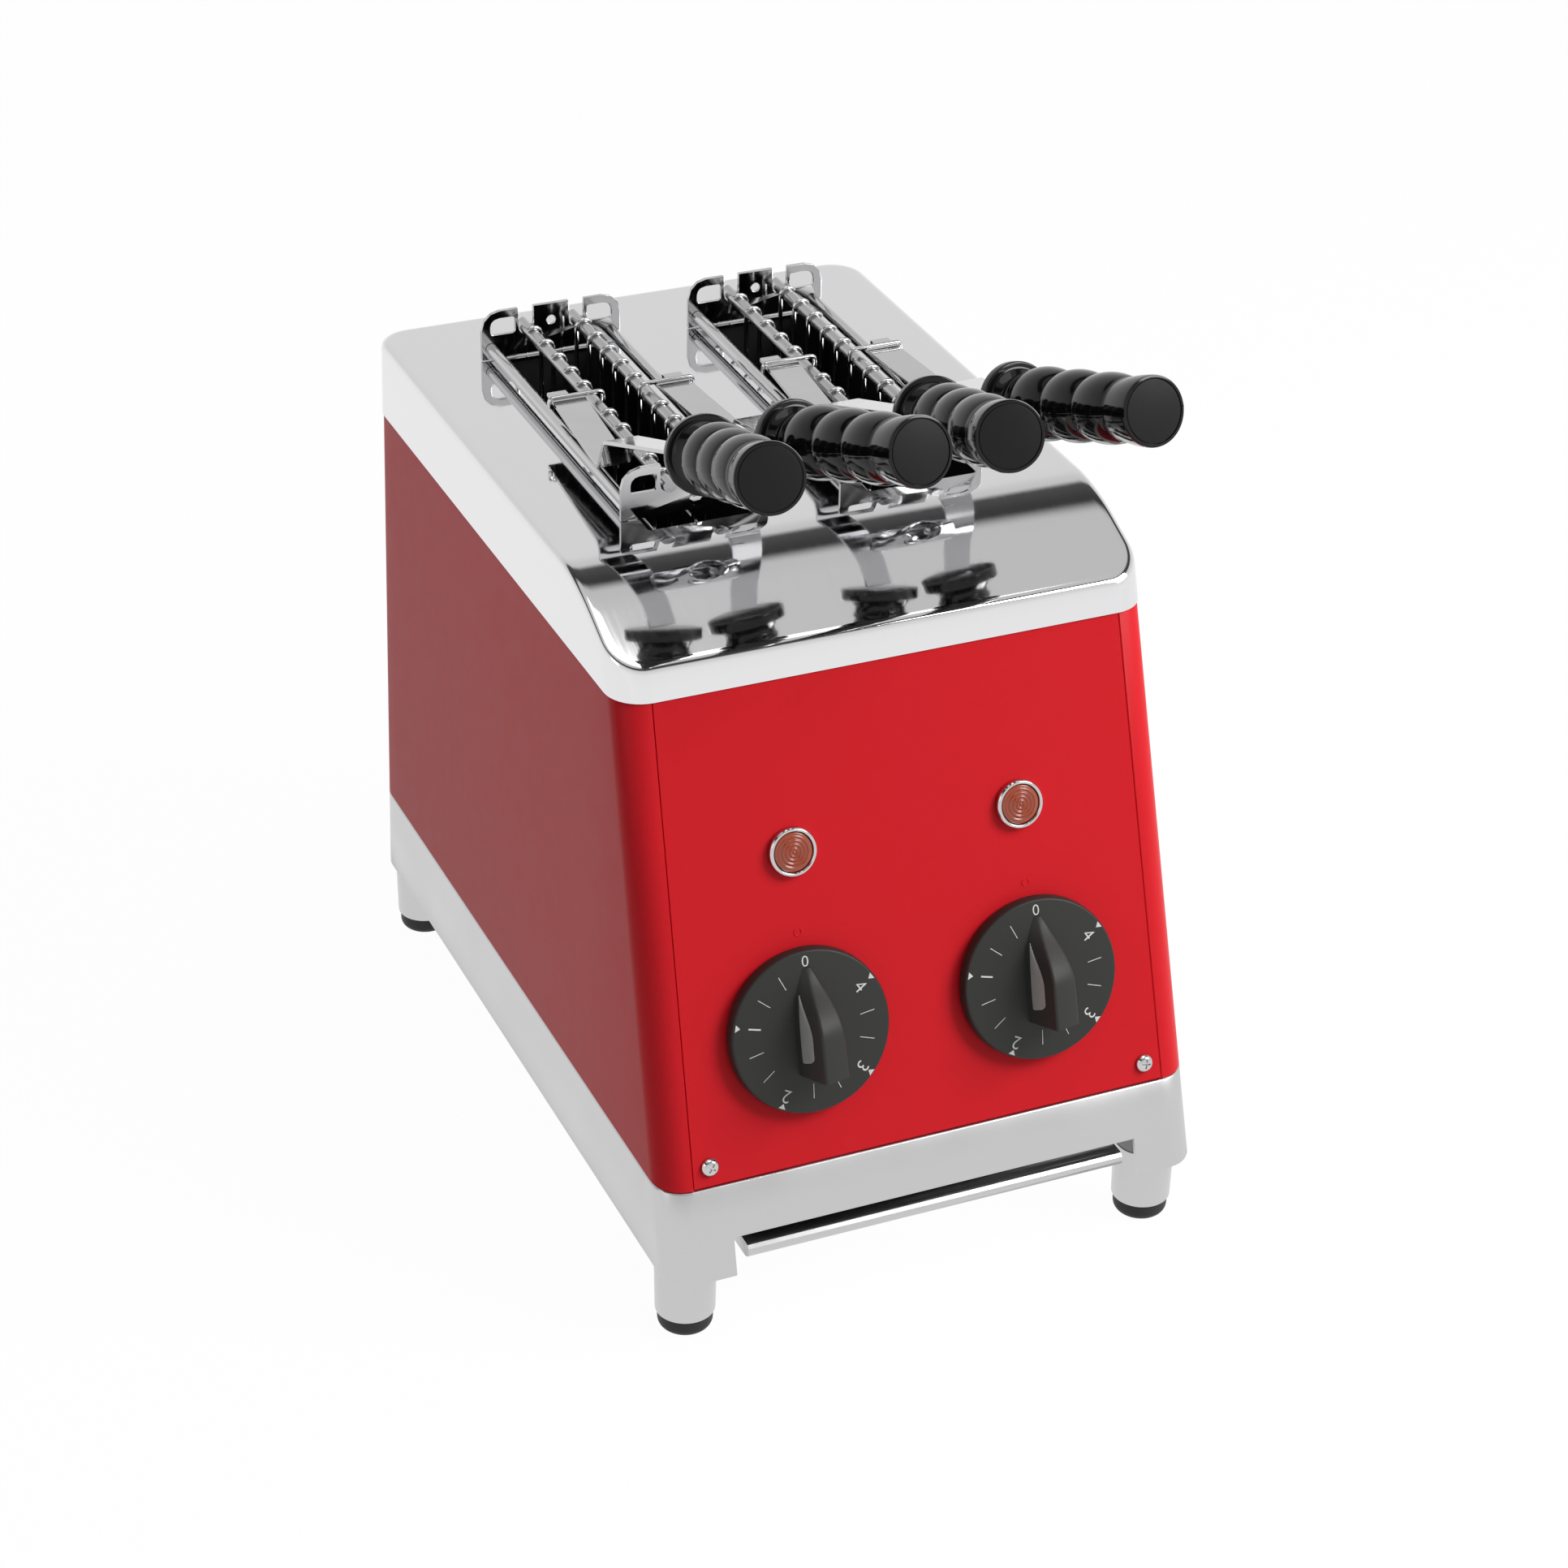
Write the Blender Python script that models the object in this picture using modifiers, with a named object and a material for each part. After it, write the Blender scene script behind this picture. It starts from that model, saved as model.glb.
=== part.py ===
"""A two-slot bar toaster with lift-out sandwich tongs, in metres, +Z up.

The front panel faces -Y and +X is on the right of someone facing it. The origin is on the ground,
at the centre of the footprint. Depths are measured forward from the housing's back plane, heights
from the ground. Front-panel pieces are laid out in the panel's own plane: x across, y up the
panel, z out of it.
"""

import math

import bmesh
import bpy
from mathutils import Matrix, Vector

# Body
BODY_WIDTH = 0.215
BODY_DEPTH = 0.319
BASE_BOTTOM = 0.0305
HOUSING_FOOT = 0.065
COVER_EDGE = 0.2405
COVER_TOP = 0.2705
BODY_CORNER_RADIUS = 0.012
FRONT_LEAN_SHARE = 0.288
SIDE_LEAN_SHARE = 0.022
SHEET = 0.0015
CLEARANCE = 0.0003
OVERRUN = 0.02

# Base, its runners and its crumb tray
NOTCH_INSET = 0.0255
NOTCH_TOP = 0.0447
TRAY_SIDE_ROOM = 0.0055
TRAY_FLOOR_UNDERSIDE = 0.0343
TRAY_SHEET = 0.0012
TRAY_WALL_HEIGHT = 0.0062
TRAY_BACK_DEPTH = 0.024
TRAY_ROLL_RADIUS = 0.003
TRAY_ROLL_SETBACK = 0.0006
RUNNER_SHEET = 0.0015
RUNNER_LEDGE = 0.0075
RUNNER_SIDE_PLAY = 0.001
RUNNER_BACK_DEPTH = 0.018
RUNNER_FRONT_SETBACK = 0.02
DECK_HOLE_MARGIN = 0.003

# Legs
LEG_INSET = 0.0127
LEG_FRONT_INSET = 0.0091
LEG_BACK_DEPTH = 0.0138
LEG_TOP_RADIUS = 0.01165
LEG_FOOT_RADIUS = 0.01125
LEG_FOOT_HEIGHT = 0.0072
LEG_SHOULDER_RISE = 0.002
LEG_STUD_RADIUS = 0.0045
LEG_CHAMFER = 0.0008
PAD_CONTACT_RADIUS = 0.0075
PAD_RADIUS = 0.0104

# Housing wrap and front panel
SEAM_FROM_CORNER = 0.0123
PANEL_SHEET = 0.0015
PANEL_FOOT_GAP = 0.001
RETURN_FLANGE = 0.012
PANEL_SCREW_INSET = 0.0193
PANEL_SCREW_UP = 0.0084
SCREW_HEAD_RADIUS = 0.0036
SCREW_HEAD_HEIGHT = 0.0022
SCREW_SHANK_RADIUS = 0.0017
SCREW_SHANK_LENGTH = 0.0062
SCREW_HOLE_PLAY = 0.0004
CROWN_RADIUS_SHARE = 0.55
SHOULDER_RADIUS_SHARE = 0.9
SHOULDER_HEIGHT_SHARE = 0.6
SIDE_HEIGHT_SHARE = 0.2

# Cover
COVER_SHEET = 0.0012
COVER_PROUD = 0.0008
ROLL_SETBACK = 0.114
ROLL_RUN = 0.048
ROLL_DROP = 0.0131
FOLD_SLOPE_SHARE = 0.4
EDGE_RADIUS = 0.0028
EDGE_ANGLE_DEGREES = 40.0
SLOT_X = 0.0435
SLOT_HALF_WIDTH = 0.022
SLOT_BACK_DEPTH = 0.043
SLOT_FRONT_SETBACK = 0.1185

# Heat chambers and heaters
CHAMBER_HALF_WIDTH = 0.033
CHAMBER_END_ROOM = 0.0015
CHAMBER_SHEET = 0.0012
HEATER_TUBE_RADIUS = 0.0035
HEATER_WALL_GAP = 0.0005
HEATER_HEIGHTS = (0.100, 0.148, 0.196)
HEATER_STRIP_WIDTH = 0.012
HEATER_STRIP_SHEET = 0.002
HEATER_STRIP_OVERHANG = 0.01

# Timers and knobs
KNOB_X = 0.0461
KNOB_UP = 0.0524
KNOB_RIM_RADIUS = 0.0312
KNOB_FACE_RADIUS = 0.0304
KNOB_STANDOFF = 0.001
KNOB_FACE_HEIGHT = 0.0058
KNOB_RIM_EASE = 0.0008
GRIP_TIP_UP = 0.0258
GRIP_FOOT_DOWN = 0.0153
GRIP_LEFT_FOOT = 0.0062
GRIP_LEFT_TOP = 0.0025
GRIP_RIGHT_TOP = 0.0079
GRIP_RIGHT_DRAFT = 0.0006
GRIP_LEFT_HEIGHT = 0.0162
GRIP_RIGHT_HEIGHT = 0.0131
GRIP_TIP_HALF_WIDTH = 0.0004
GRIP_TIP_RISE = 0.0006
GRIP_ROOT = 0.0008
GRIP_RAMP_SHARE = 0.6
GRIP_LEFT_POWER = 4.0
GRIP_RIGHT_POWER = 3.5
GRIP_SPACING_POWER = 1.4
INSERT_START_SHARE = 0.26
INSERT_END_SHARE = 0.86
INSERT_LOW_SHARE = 0.19
INSERT_TIP_HIGH_SHARE = 0.30
INSERT_HIGH_SHARE = 0.64
INSERT_SWELL_RATE = 1.6
INSERT_TAIL_RATE = 6.0
INSERT_TAIL_SHARE = 0.45
INSERT_THICKNESS = 0.0006
SHAFT_RADIUS = 0.003
SHAFT_IN_KNOB = 0.010
SHAFT_IN_TIMER = 0.004
SHAFT_PLAY = 0.0003
PANEL_SHAFT_HOLE_RADIUS = 0.0042
TIMER_SIDE = 0.038
TIMER_BODY_DEPTH = 0.026
TIMER_NECK_RADIUS = 0.0085

# Lamps
LAMP_X = 0.045
LAMP_UP = 0.119
BEZEL_RADIUS = 0.00925
BEZEL_BORE_RADIUS = 0.0076
BEZEL_HEIGHT = 0.0026
BEZEL_EASE = 0.0008
BEZEL_SLEEVE_RADIUS = 0.0083
BEZEL_SLEEVE_LENGTH = 0.009
LENS_CROWN = 0.0016
LENS_STEM_LENGTH = 0.0115

# Brackets and side tubes on the cover
BRACKET_BACK_DEPTH = 0.0405
BRACKET_FRONT_INSET = 0.0105
BRACKET_SHEET = 0.0015
BRACKET_HALF_WIDTH = 0.029
BRACKET_HEIGHT = 0.0205
BRACKET_CORNER_RADIUS = 0.0135
CRADLE_PLAY = 0.0006
WINDOW_INNER_X = 0.0150
WINDOW_OUTER_X = 0.0252
WINDOW_FOOT = 0.0105
WINDOW_TOP = 0.0172
WINDOW_LARGE_RADIUS = 0.0055
WINDOW_SMALL_RADIUS = 0.0012
BRACKET_HOLE_UP = 0.0135
BRACKET_HOLE_RADIUS = 0.00185
TUBE_RADIUS = 0.00235
TUBE_X = 0.025
TUBE_UP = 0.0049
RIVET_UP = 0.0045
RIVET_HEAD_RADIUS = 0.0026
RIVET_HEAD_HEIGHT = 0.0014
RIVET_SHANK_RADIUS = 0.0012

# Tongs: rails, grids, arms, handles and the spring bridge
RAIL_X = 0.0105
RAIL_RADIUS = 0.0025
RAIL_HEIGHT = 0.2825
RAIL_BACK_DEPTH = 0.037
RAIL_OVERHANG = 0.0025
WIRE_RADIUS = 0.0009
CROSS_WIRE_RADIUS = 0.0008
WELD_BITE = 0.0003
WIRE_COUNT = 11
WIRE_LAST_INSET = 0.008
WIRE_FIRST_DEPTH = 0.0495
GRID_DROP = 0.150
GRID_TOE = 0.0052
GRID_BEND = 0.003
CROSS_WIRE_COUNT = 3
CROSS_WIRE_TOP_DROP = 0.028
CROSS_WIRE_OVERHANG = 0.003
CLIP_WIRE_INDEX = 5
ARM_SHEET = 0.0015
ARM_RISE = 0.003
ARM_BACK_OVERHANG = 0.008
ARM_BEND_INSET = 0.018
ARM_STEP_RUN = 0.0065
ARM_STEP_RISE = 0.013
ARM_BACK_OUT = 0.010
ARM_FRONT_OUT = 0.015
ARM_HALF_WIDTH = 0.0065
ARM_WAIST_HALF_WIDTH = 0.005
ARM_BEND_RADIUS = 0.004
ARM_NOTCH_WIDTH = 0.0055
ARM_NOTCH_LENGTH = 0.0065
COLLAR_OUT = 0.006
COLLAR_RUN = 0.0585
COLLAR_HEIGHT = 0.3173
HANDLE_LENGTH = 0.0874
HANDLE_PITCH_DEGREES = 20.0
HANDLE_YAW_DEGREES = 7.4
COLLAR_RADIUS = 0.0144
COLLAR_THICKNESS = 0.0042
COLLAR_EASE = 0.0008
COLLAR_NECK_SHARE = 0.85
NECK_RADIUS = 0.0094
NECK_LENGTH = 0.012
LOBE_COUNT = 3
LOBE_PITCH = 0.020
LOBE_RADIUS = 0.0132
LOBE_TAPER = 0.0003
LOBE_SWELL_POWER = 0.7
GROOVE_RADIUS = 0.0108
CAP_RADIUS = 0.0124
CAP_EASE = 0.0006
BRIDGE_RUN = 0.032
BRIDGE_WIDTH = 0.034
BRIDGE_LENGTH = 0.019
BRIDGE_SHEET = 0.0015
SLEEVE_RADIUS = 0.008
SLEEVE_WALL = 0.0013
SLEEVE_LENGTH = 0.013

# Cable gland
GLAND_X = 0.06
GLAND_HEIGHT = 0.048
GLAND_FLANGE_RADIUS = 0.0085
GLAND_FLANGE_THICKNESS = 0.003
GLAND_SLEEVE_RADIUS = 0.0058
GLAND_BORE_RADIUS = 0.0036
GLAND_SLEEVE_LENGTH = 0.012
GLAND_HOLE_PLAY = 0.0003

# Counts of facets
ROUND_STEPS = 16
KNOB_STEPS = 40
ARC_STEPS = 3
BEND_STEPS = 2
HOOK_STEPS = 4
CORNER_SEGMENTS = 4
EDGE_SEGMENTS = 3
LOBE_STEPS = 4
GRIP_STEPS = 8
INSERT_STEPS = 6
TUBE_RESOLUTION = 4
RAIL_RESOLUTION = 2
WIRE_RESOLUTION = 0

LEAN = math.atan(FRONT_LEAN_SHARE)
BASE_FRONT_DEPTH = BODY_DEPTH + FRONT_LEAN_SHARE * (HOUSING_FOOT - BASE_BOTTOM)
GRIP_FRONT_DEPTH = (
    BODY_DEPTH
    - (KNOB_UP - GRIP_FOOT_DOWN) * math.sin(LEAN)
    + (KNOB_FACE_HEIGHT + GRIP_LEFT_HEIGHT) * math.cos(LEAN)
)
NOTCH_HALF_WIDTH = BODY_WIDTH / 2 - NOTCH_INSET
TRAY_HALF_WIDTH = NOTCH_HALF_WIDTH - TRAY_SIDE_ROOM
LEG_X = BODY_WIDTH / 2 - LEG_INSET
PANEL_SCREW_X = BODY_WIDTH / 2 - PANEL_SCREW_INSET
LEG_FRONT_DEPTH = BODY_DEPTH - LEG_FRONT_INSET
ROLL_START_DEPTH = BODY_DEPTH - ROLL_SETBACK
SLOT_FRONT_DEPTH = BODY_DEPTH - SLOT_FRONT_SETBACK
BRACKET_FRONT_DEPTH = SLOT_FRONT_DEPTH - BRACKET_FRONT_INSET
RAIL_FRONT_DEPTH = BRACKET_FRONT_DEPTH + RAIL_OVERHANG
WIRE_PITCH = (RAIL_FRONT_DEPTH - WIRE_LAST_INSET - WIRE_FIRST_DEPTH) / (WIRE_COUNT - 1)
CLIP_WIRE_DEPTH = WIRE_FIRST_DEPTH + CLIP_WIRE_INDEX * WIRE_PITCH
ARM_BACK_DEPTH = CLIP_WIRE_DEPTH - ARM_BACK_OVERHANG
ARM_BEND_DEPTH = RAIL_FRONT_DEPTH - ARM_BEND_INSET
ARM_STEP_DEPTH = ARM_BEND_DEPTH + ARM_STEP_RUN
COLLAR_DEPTH = ARM_STEP_DEPTH + COLLAR_RUN
GLAND_REACH = CLEARANCE + GLAND_FLANGE_THICKNESS
CENTRE_DEPTH = (max(BASE_FRONT_DEPTH, GRIP_FRONT_DEPTH) - GLAND_REACH) / 2
SIDES = {"left": -1, "right": 1}

part_collection = bpy.data.collections.new("sandwich_toaster")
cutter_collection = bpy.data.collections.new("cutters")


# Placing


def at_depth(depth):
    """World y of a depth measured forward from the housing's back plane."""
    return CENTRE_DEPTH - depth


def front_depth(height):
    """Depth of the leaning front plane at a height."""
    return BODY_DEPTH + FRONT_LEAN_SHARE * (HOUSING_FOOT - height)


def half_width(height):
    """Half the body's width at a height: the sides lean in a little towards the top."""
    return BODY_WIDTH / 2 + SIDE_LEAN_SHARE * (HOUSING_FOOT - height)


def add_empty(name, location, rotation=(0, 0, 0), parent=None):
    empty = bpy.data.objects.new(name, None)
    part_collection.objects.link(empty)
    empty.location = location
    empty.rotation_euler = rotation
    empty.empty_display_size = SHEET
    empty.parent = parent
    return empty


# Materials


def add_material(name, colour, roughness, metallic=0.0):
    material = bpy.data.materials.new(name)
    material.use_nodes = True
    shader = material.node_tree.nodes["Principled BSDF"]
    shader.inputs["Base Color"].default_value = (*colour, 1)
    shader.inputs["Roughness"].default_value = roughness
    shader.inputs["Metallic"].default_value = metallic
    return material


# Shared shapes


def add_part(name, mesh, material=None, parent=None, smooth_degrees=35):
    """An object of the toaster, from a mesh that this function takes over."""
    part = bpy.data.objects.new(name, mesh)
    mesh.name = name
    part_collection.objects.link(part)
    part.parent = parent
    if material:
        mesh.materials.clear()
        mesh.materials.append(material)
    mesh.shade_smooth()
    mesh.set_sharp_from_angle(angle=math.radians(smooth_degrees))
    return part


def make_cutter(part):
    """Moves an object to the cutters, where it is drawn as wire and never rendered."""
    part_collection.objects.unlink(part)
    cutter_collection.objects.link(part)
    part.hide_render = True
    part.display_type = "WIRE"
    return part


def combine(part, other, operation="DIFFERENCE"):
    """Cuts, joins or intersects a part with another object, which becomes a cutter."""
    boolean = part.modifiers.new(f"{operation.lower()} {other.name}", "BOOLEAN")
    boolean.object = other
    boolean.operation = operation
    make_cutter(other)
    return part


def box_mesh(lower, upper):
    """A box between two corners."""
    mesh = bpy.data.meshes.new("box")
    shape = bmesh.new()
    bmesh.ops.create_cube(shape, size=1)
    size = [high - low for low, high in zip(lower, upper)]
    centre = [(high + low) / 2 for low, high in zip(lower, upper)]
    bmesh.ops.scale(shape, verts=shape.verts, vec=size)
    bmesh.ops.translate(shape, verts=shape.verts, vec=centre)
    shape.to_mesh(mesh)
    shape.free()
    return mesh


def depth_box(half_across, x, back, front, bottom, top):
    """A box centred on x, between two depths and two heights."""
    return box_mesh(
        (x - half_across, at_depth(front), bottom), (x + half_across, at_depth(back), top)
    )


def cylinder_mesh(radius, bottom, top, steps=ROUND_STEPS):
    """An upright cylinder between two heights on the local z axis."""
    mesh = bpy.data.meshes.new("cylinder")
    shape = bmesh.new()
    bmesh.ops.create_cone(
        shape, cap_ends=True, segments=steps, radius1=radius, radius2=radius, depth=top - bottom
    )
    bmesh.ops.translate(shape, verts=shape.verts, vec=(0, 0, (top + bottom) / 2))
    shape.to_mesh(mesh)
    shape.free()
    return mesh


def hull_mesh(bottom, top, inset=0.0, front_inset=None, corner=BODY_CORNER_RADIUS):
    """The body's outer form between two heights: a box that leans with the front and the sides."""
    mesh = bpy.data.meshes.new("hull")
    front_inset = inset if front_inset is None else front_inset
    shape = bmesh.new()
    bmesh.ops.create_cube(shape, size=1)
    for vertex in shape.verts:
        height = top if vertex.co.z > 0 else bottom
        side = half_width(height) - inset
        depth = front_depth(height) - front_inset if vertex.co.y < 0 else inset
        vertex.co = (math.copysign(side, vertex.co.x), at_depth(depth), height)
    middle = (top + bottom) / 2
    upright = [
        edge
        for edge in shape.edges
        if min(end.co.z for end in edge.verts) < middle < max(end.co.z for end in edge.verts)
    ]
    if corner > inset:
        bmesh.ops.bevel(
            shape,
            geom=upright,
            offset=corner - inset,
            segments=CORNER_SEGMENTS,
            profile=1 / 2,
            affect="EDGES",
        )
    shape.to_mesh(mesh)
    shape.free()
    return mesh


def evaluated_mesh(part):
    """A part's mesh with its modifiers applied, in its own space."""
    bpy.context.view_layer.update()
    graph = bpy.context.evaluated_depsgraph_get()
    return bpy.data.meshes.new_from_object(part.evaluated_get(graph))


def welded_curve_mesh(curve):
    """The closed mesh of a curve, its caps joined to its sides."""
    helper = bpy.data.objects.new("curve", curve)
    part_collection.objects.link(helper)
    mesh = evaluated_mesh(helper)
    bpy.data.objects.remove(helper)
    bpy.data.curves.remove(curve)
    shape = bmesh.new()
    shape.from_mesh(mesh)
    bmesh.ops.remove_doubles(shape, verts=shape.verts, dist=CLEARANCE / 100)
    bmesh.ops.recalc_face_normals(shape, faces=shape.faces)
    shape.to_mesh(mesh)
    shape.free()
    return mesh


def add_spline(curve, points, cyclic):
    spline = curve.splines.new("POLY")
    spline.points.add(len(points) - 1)
    for point, place in zip(spline.points, points):
        point.co = Vector(place).to_3d().to_4d()
    spline.use_cyclic_u = cyclic


def plate_mesh(outlines, thickness):
    """A flat plate lying in the local xy plane, its outline first and then its holes."""
    curve = bpy.data.curves.new("plate", "CURVE")
    curve.dimensions = "2D"
    curve.fill_mode = "BOTH"
    curve.extrude = thickness / 2
    for outline in outlines:
        add_spline(curve, outline, True)
    return welded_curve_mesh(curve)


def wire_mesh(paths, radius, resolution):
    """Round wires of one radius along lists of points."""
    curve = bpy.data.curves.new("wire", "CURVE")
    curve.dimensions = "3D"
    curve.bevel_depth = radius
    curve.bevel_resolution = resolution
    curve.use_fill_caps = True
    for path in paths:
        add_spline(curve, path, False)
    return welded_curve_mesh(curve)


def profile_mesh(profile):
    """A thin strip of edges for a Screw modifier: (radius, height) pairs run down the outer side."""
    mesh = bpy.data.meshes.new("profile")
    points = [(radius, 0, height) for radius, height in profile]
    mesh.from_pydata(points, [(i, i + 1) for i in range(len(points) - 1)], [])
    return mesh


def turn(part, steps=ROUND_STEPS):
    """Turns a part's profile once round its own z axis."""
    screw = part.modifiers.new("turned", "SCREW")
    screw.steps = steps
    screw.render_steps = steps
    screw.use_merge_vertices = True
    screw.merge_threshold = CLEARANCE / 100
    screw.use_smooth_shade = True
    return part


def add_turned(name, profile, material, parent=None, steps=ROUND_STEPS):
    return turn(add_part(name, profile_mesh(profile), material, parent), steps)


def circle(radius, x, y, steps=ROUND_STEPS):
    turns = [2 * math.pi * i / steps for i in range(steps)]
    return [(x + radius * math.cos(turn_), y + radius * math.sin(turn_)) for turn_ in turns]


def rounded(corners, radii, cyclic=True, steps=ARC_STEPS):
    """A path with each corner replaced by an arc of its own radius, as far as its sides allow."""
    corners = [Vector(corner) for corner in corners]
    path = []
    for i, corner in enumerate(corners):
        ends = not cyclic and i in (0, len(corners) - 1)
        before = corners[i - 1] - corner
        after = corners[(i + 1) % len(corners)] - corner
        if ends or radii[i] == 0:
            path.append(tuple(corner))
            continue
        angle = before.angle(after)
        reach = min(radii[i] / math.tan(angle / 2), before.length / 2, after.length / 2)
        radius = reach * math.tan(angle / 2)
        middle = (before.normalized() + after.normalized()).normalized()
        centre = corner + middle * radius / math.sin(angle / 2)
        start = corner + before.normalized() * reach - centre
        end = corner + after.normalized() * reach - centre
        sweep = math.pi - angle
        for step in range(steps + 1):
            share = step / steps
            near = math.sin((1 - share) * sweep) / math.sin(sweep)
            far = math.sin(share * sweep) / math.sin(sweep)
            path.append(tuple(centre + start * near + end * far))
    return path


def loft_mesh(sections):
    """A closed solid through rings with equal numbers of points, its two ends filled."""
    mesh = bpy.data.meshes.new("loft")
    shape = bmesh.new()
    rings = [[shape.verts.new(point) for point in section] for section in sections]
    count = len(rings[0])
    for ring, following in zip(rings, rings[1:]):
        for i in range(count):
            j = (i + 1) % count
            shape.faces.new((ring[i], ring[j], following[j], following[i]))
    shape.faces.new(rings[0])
    shape.faces.new(rings[-1])
    bmesh.ops.recalc_face_normals(shape, faces=shape.faces)
    shape.to_mesh(mesh)
    shape.free()
    return mesh


# Base, tray, legs and pads


def build_base(material):
    """An open-bottomed skirt with a deck, a tray notch in front and two tray runners inside."""
    base = add_part("base_skirt", hull_mesh(BASE_BOTTOM, HOUSING_FOOT), material)
    deck_underside = HOUSING_FOOT - SHEET
    hollow = add_part("base_hollow", hull_mesh(BASE_BOTTOM - OVERRUN, deck_underside, SHEET))
    combine(base, hollow)
    notch_back = front_depth(HOUSING_FOOT) - OVERRUN
    notch = depth_box(
        NOTCH_HALF_WIDTH, 0, notch_back, BASE_FRONT_DEPTH + OVERRUN, BASE_BOTTOM - OVERRUN, NOTCH_TOP
    )
    combine(base, add_part("tray_notch", notch))
    for name, side in SIDES.items():
        hole = depth_box(
            CHAMBER_HALF_WIDTH - DECK_HOLE_MARGIN,
            side * SLOT_X,
            SLOT_BACK_DEPTH + DECK_HOLE_MARGIN,
            SLOT_FRONT_DEPTH - DECK_HOLE_MARGIN,
            deck_underside - SHEET,
            HOUSING_FOOT + SHEET,
        )
        combine(base, add_part(f"deck_hole_{name}", hole))
        combine(base, add_part(f"runner_{name}", runner_mesh(side), material), "UNION")
    gland_hole = cylinder_mesh(GLAND_SLEEVE_RADIUS + GLAND_HOLE_PLAY, -OVERRUN / 2, OVERRUN / 2)
    hole = add_part("gland_hole", gland_hole)
    hole.location = (GLAND_X, at_depth(0), GLAND_HEIGHT)
    hole.rotation_euler = (-math.pi / 2, 0, 0)
    combine(base, hole)
    return base


def runner_mesh(side):
    """An L-shaped strip hung from the deck, whose ledge carries one edge of the tray."""
    web_inner = TRAY_HALF_WIDTH + RUNNER_SIDE_PLAY
    web_outer = web_inner + RUNNER_SHEET
    ledge_inner = web_inner - RUNNER_LEDGE
    ledge_top = TRAY_FLOOR_UNDERSIDE - CLEARANCE
    ledge_foot = ledge_top - RUNNER_SHEET
    root = HOUSING_FOOT - SHEET / 2
    outline = [
        (ledge_inner, ledge_foot),
        (web_outer, ledge_foot),
        (web_outer, root),
        (web_inner, root),
        (web_inner, ledge_top),
        (ledge_inner, ledge_top),
    ]
    front = front_depth(HOUSING_FOOT) - RUNNER_FRONT_SETBACK
    mesh = plate_mesh([[(side * x, z) for x, z in outline]], front - RUNNER_BACK_DEPTH)
    centre = (0, at_depth((front + RUNNER_BACK_DEPTH) / 2), 0)
    mesh.transform(Matrix.Translation(centre) @ Matrix.Rotation(math.pi / 2, 4, "X"))
    return mesh


def build_tray(material):
    """A shallow pan that slides out forward, with a rolled front edge."""
    floor = TRAY_FLOOR_UNDERSIDE
    roll_height = floor + TRAY_ROLL_RADIUS + CLEARANCE
    roll_depth = front_depth(roll_height) - TRAY_ROLL_RADIUS - TRAY_ROLL_SETBACK
    top = floor + TRAY_WALL_HEIGHT
    pan = add_part(
        "crumb_tray", depth_box(TRAY_HALF_WIDTH, 0, TRAY_BACK_DEPTH, roll_depth, floor, top), material
    )
    room = depth_box(
        TRAY_HALF_WIDTH - TRAY_SHEET,
        0,
        TRAY_BACK_DEPTH + TRAY_SHEET,
        roll_depth - TRAY_ROLL_RADIUS - TRAY_SHEET,
        floor + TRAY_SHEET,
        top + OVERRUN,
    )
    combine(pan, add_part("tray_room", room))
    ends = [(side * TRAY_HALF_WIDTH, at_depth(roll_depth), roll_height) for side in (-1, 1)]
    combine(pan, add_part("tray_roll", wire_mesh([ends], TRAY_ROLL_RADIUS, TUBE_RESOLUTION)), "UNION")
    return pan


def build_legs(leg_material, pad_material):
    """Turned legs bolted up to the deck, each on a domed rubber pad."""
    shoulder = BASE_BOTTOM + LEG_SHOULDER_RISE
    leg = [
        (0, HOUSING_FOOT - SHEET - CLEARANCE),
        (LEG_STUD_RADIUS, HOUSING_FOOT - SHEET - CLEARANCE),
        (LEG_STUD_RADIUS, shoulder),
        (LEG_TOP_RADIUS - LEG_CHAMFER, shoulder),
        (LEG_TOP_RADIUS, shoulder - LEG_CHAMFER),
        (LEG_FOOT_RADIUS, LEG_FOOT_HEIGHT + LEG_CHAMFER),
        (LEG_FOOT_RADIUS - LEG_CHAMFER, LEG_FOOT_HEIGHT),
        (0, LEG_FOOT_HEIGHT),
    ]
    top = LEG_FOOT_HEIGHT - CLEARANCE
    dome = [(0, top), (PAD_RADIUS, top)]
    for step in range(ARC_STEPS + 1):
        turned = math.pi / 2 * step / ARC_STEPS
        radius = PAD_CONTACT_RADIUS + (PAD_RADIUS - PAD_CONTACT_RADIUS) * math.cos(turned)
        dome.append((radius, top / 2 - top / 2 * math.sin(turned)))
    dome.append((0, 0))
    for row, depth in {"front": LEG_FRONT_DEPTH, "back": LEG_BACK_DEPTH}.items():
        for name, side in SIDES.items():
            place = (side * LEG_X, at_depth(depth), 0)
            add_turned(f"leg_{row}_{name}", leg, leg_material).location = place
            add_turned(f"foot_pad_{row}_{name}", dome, pad_material).location = place


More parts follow.
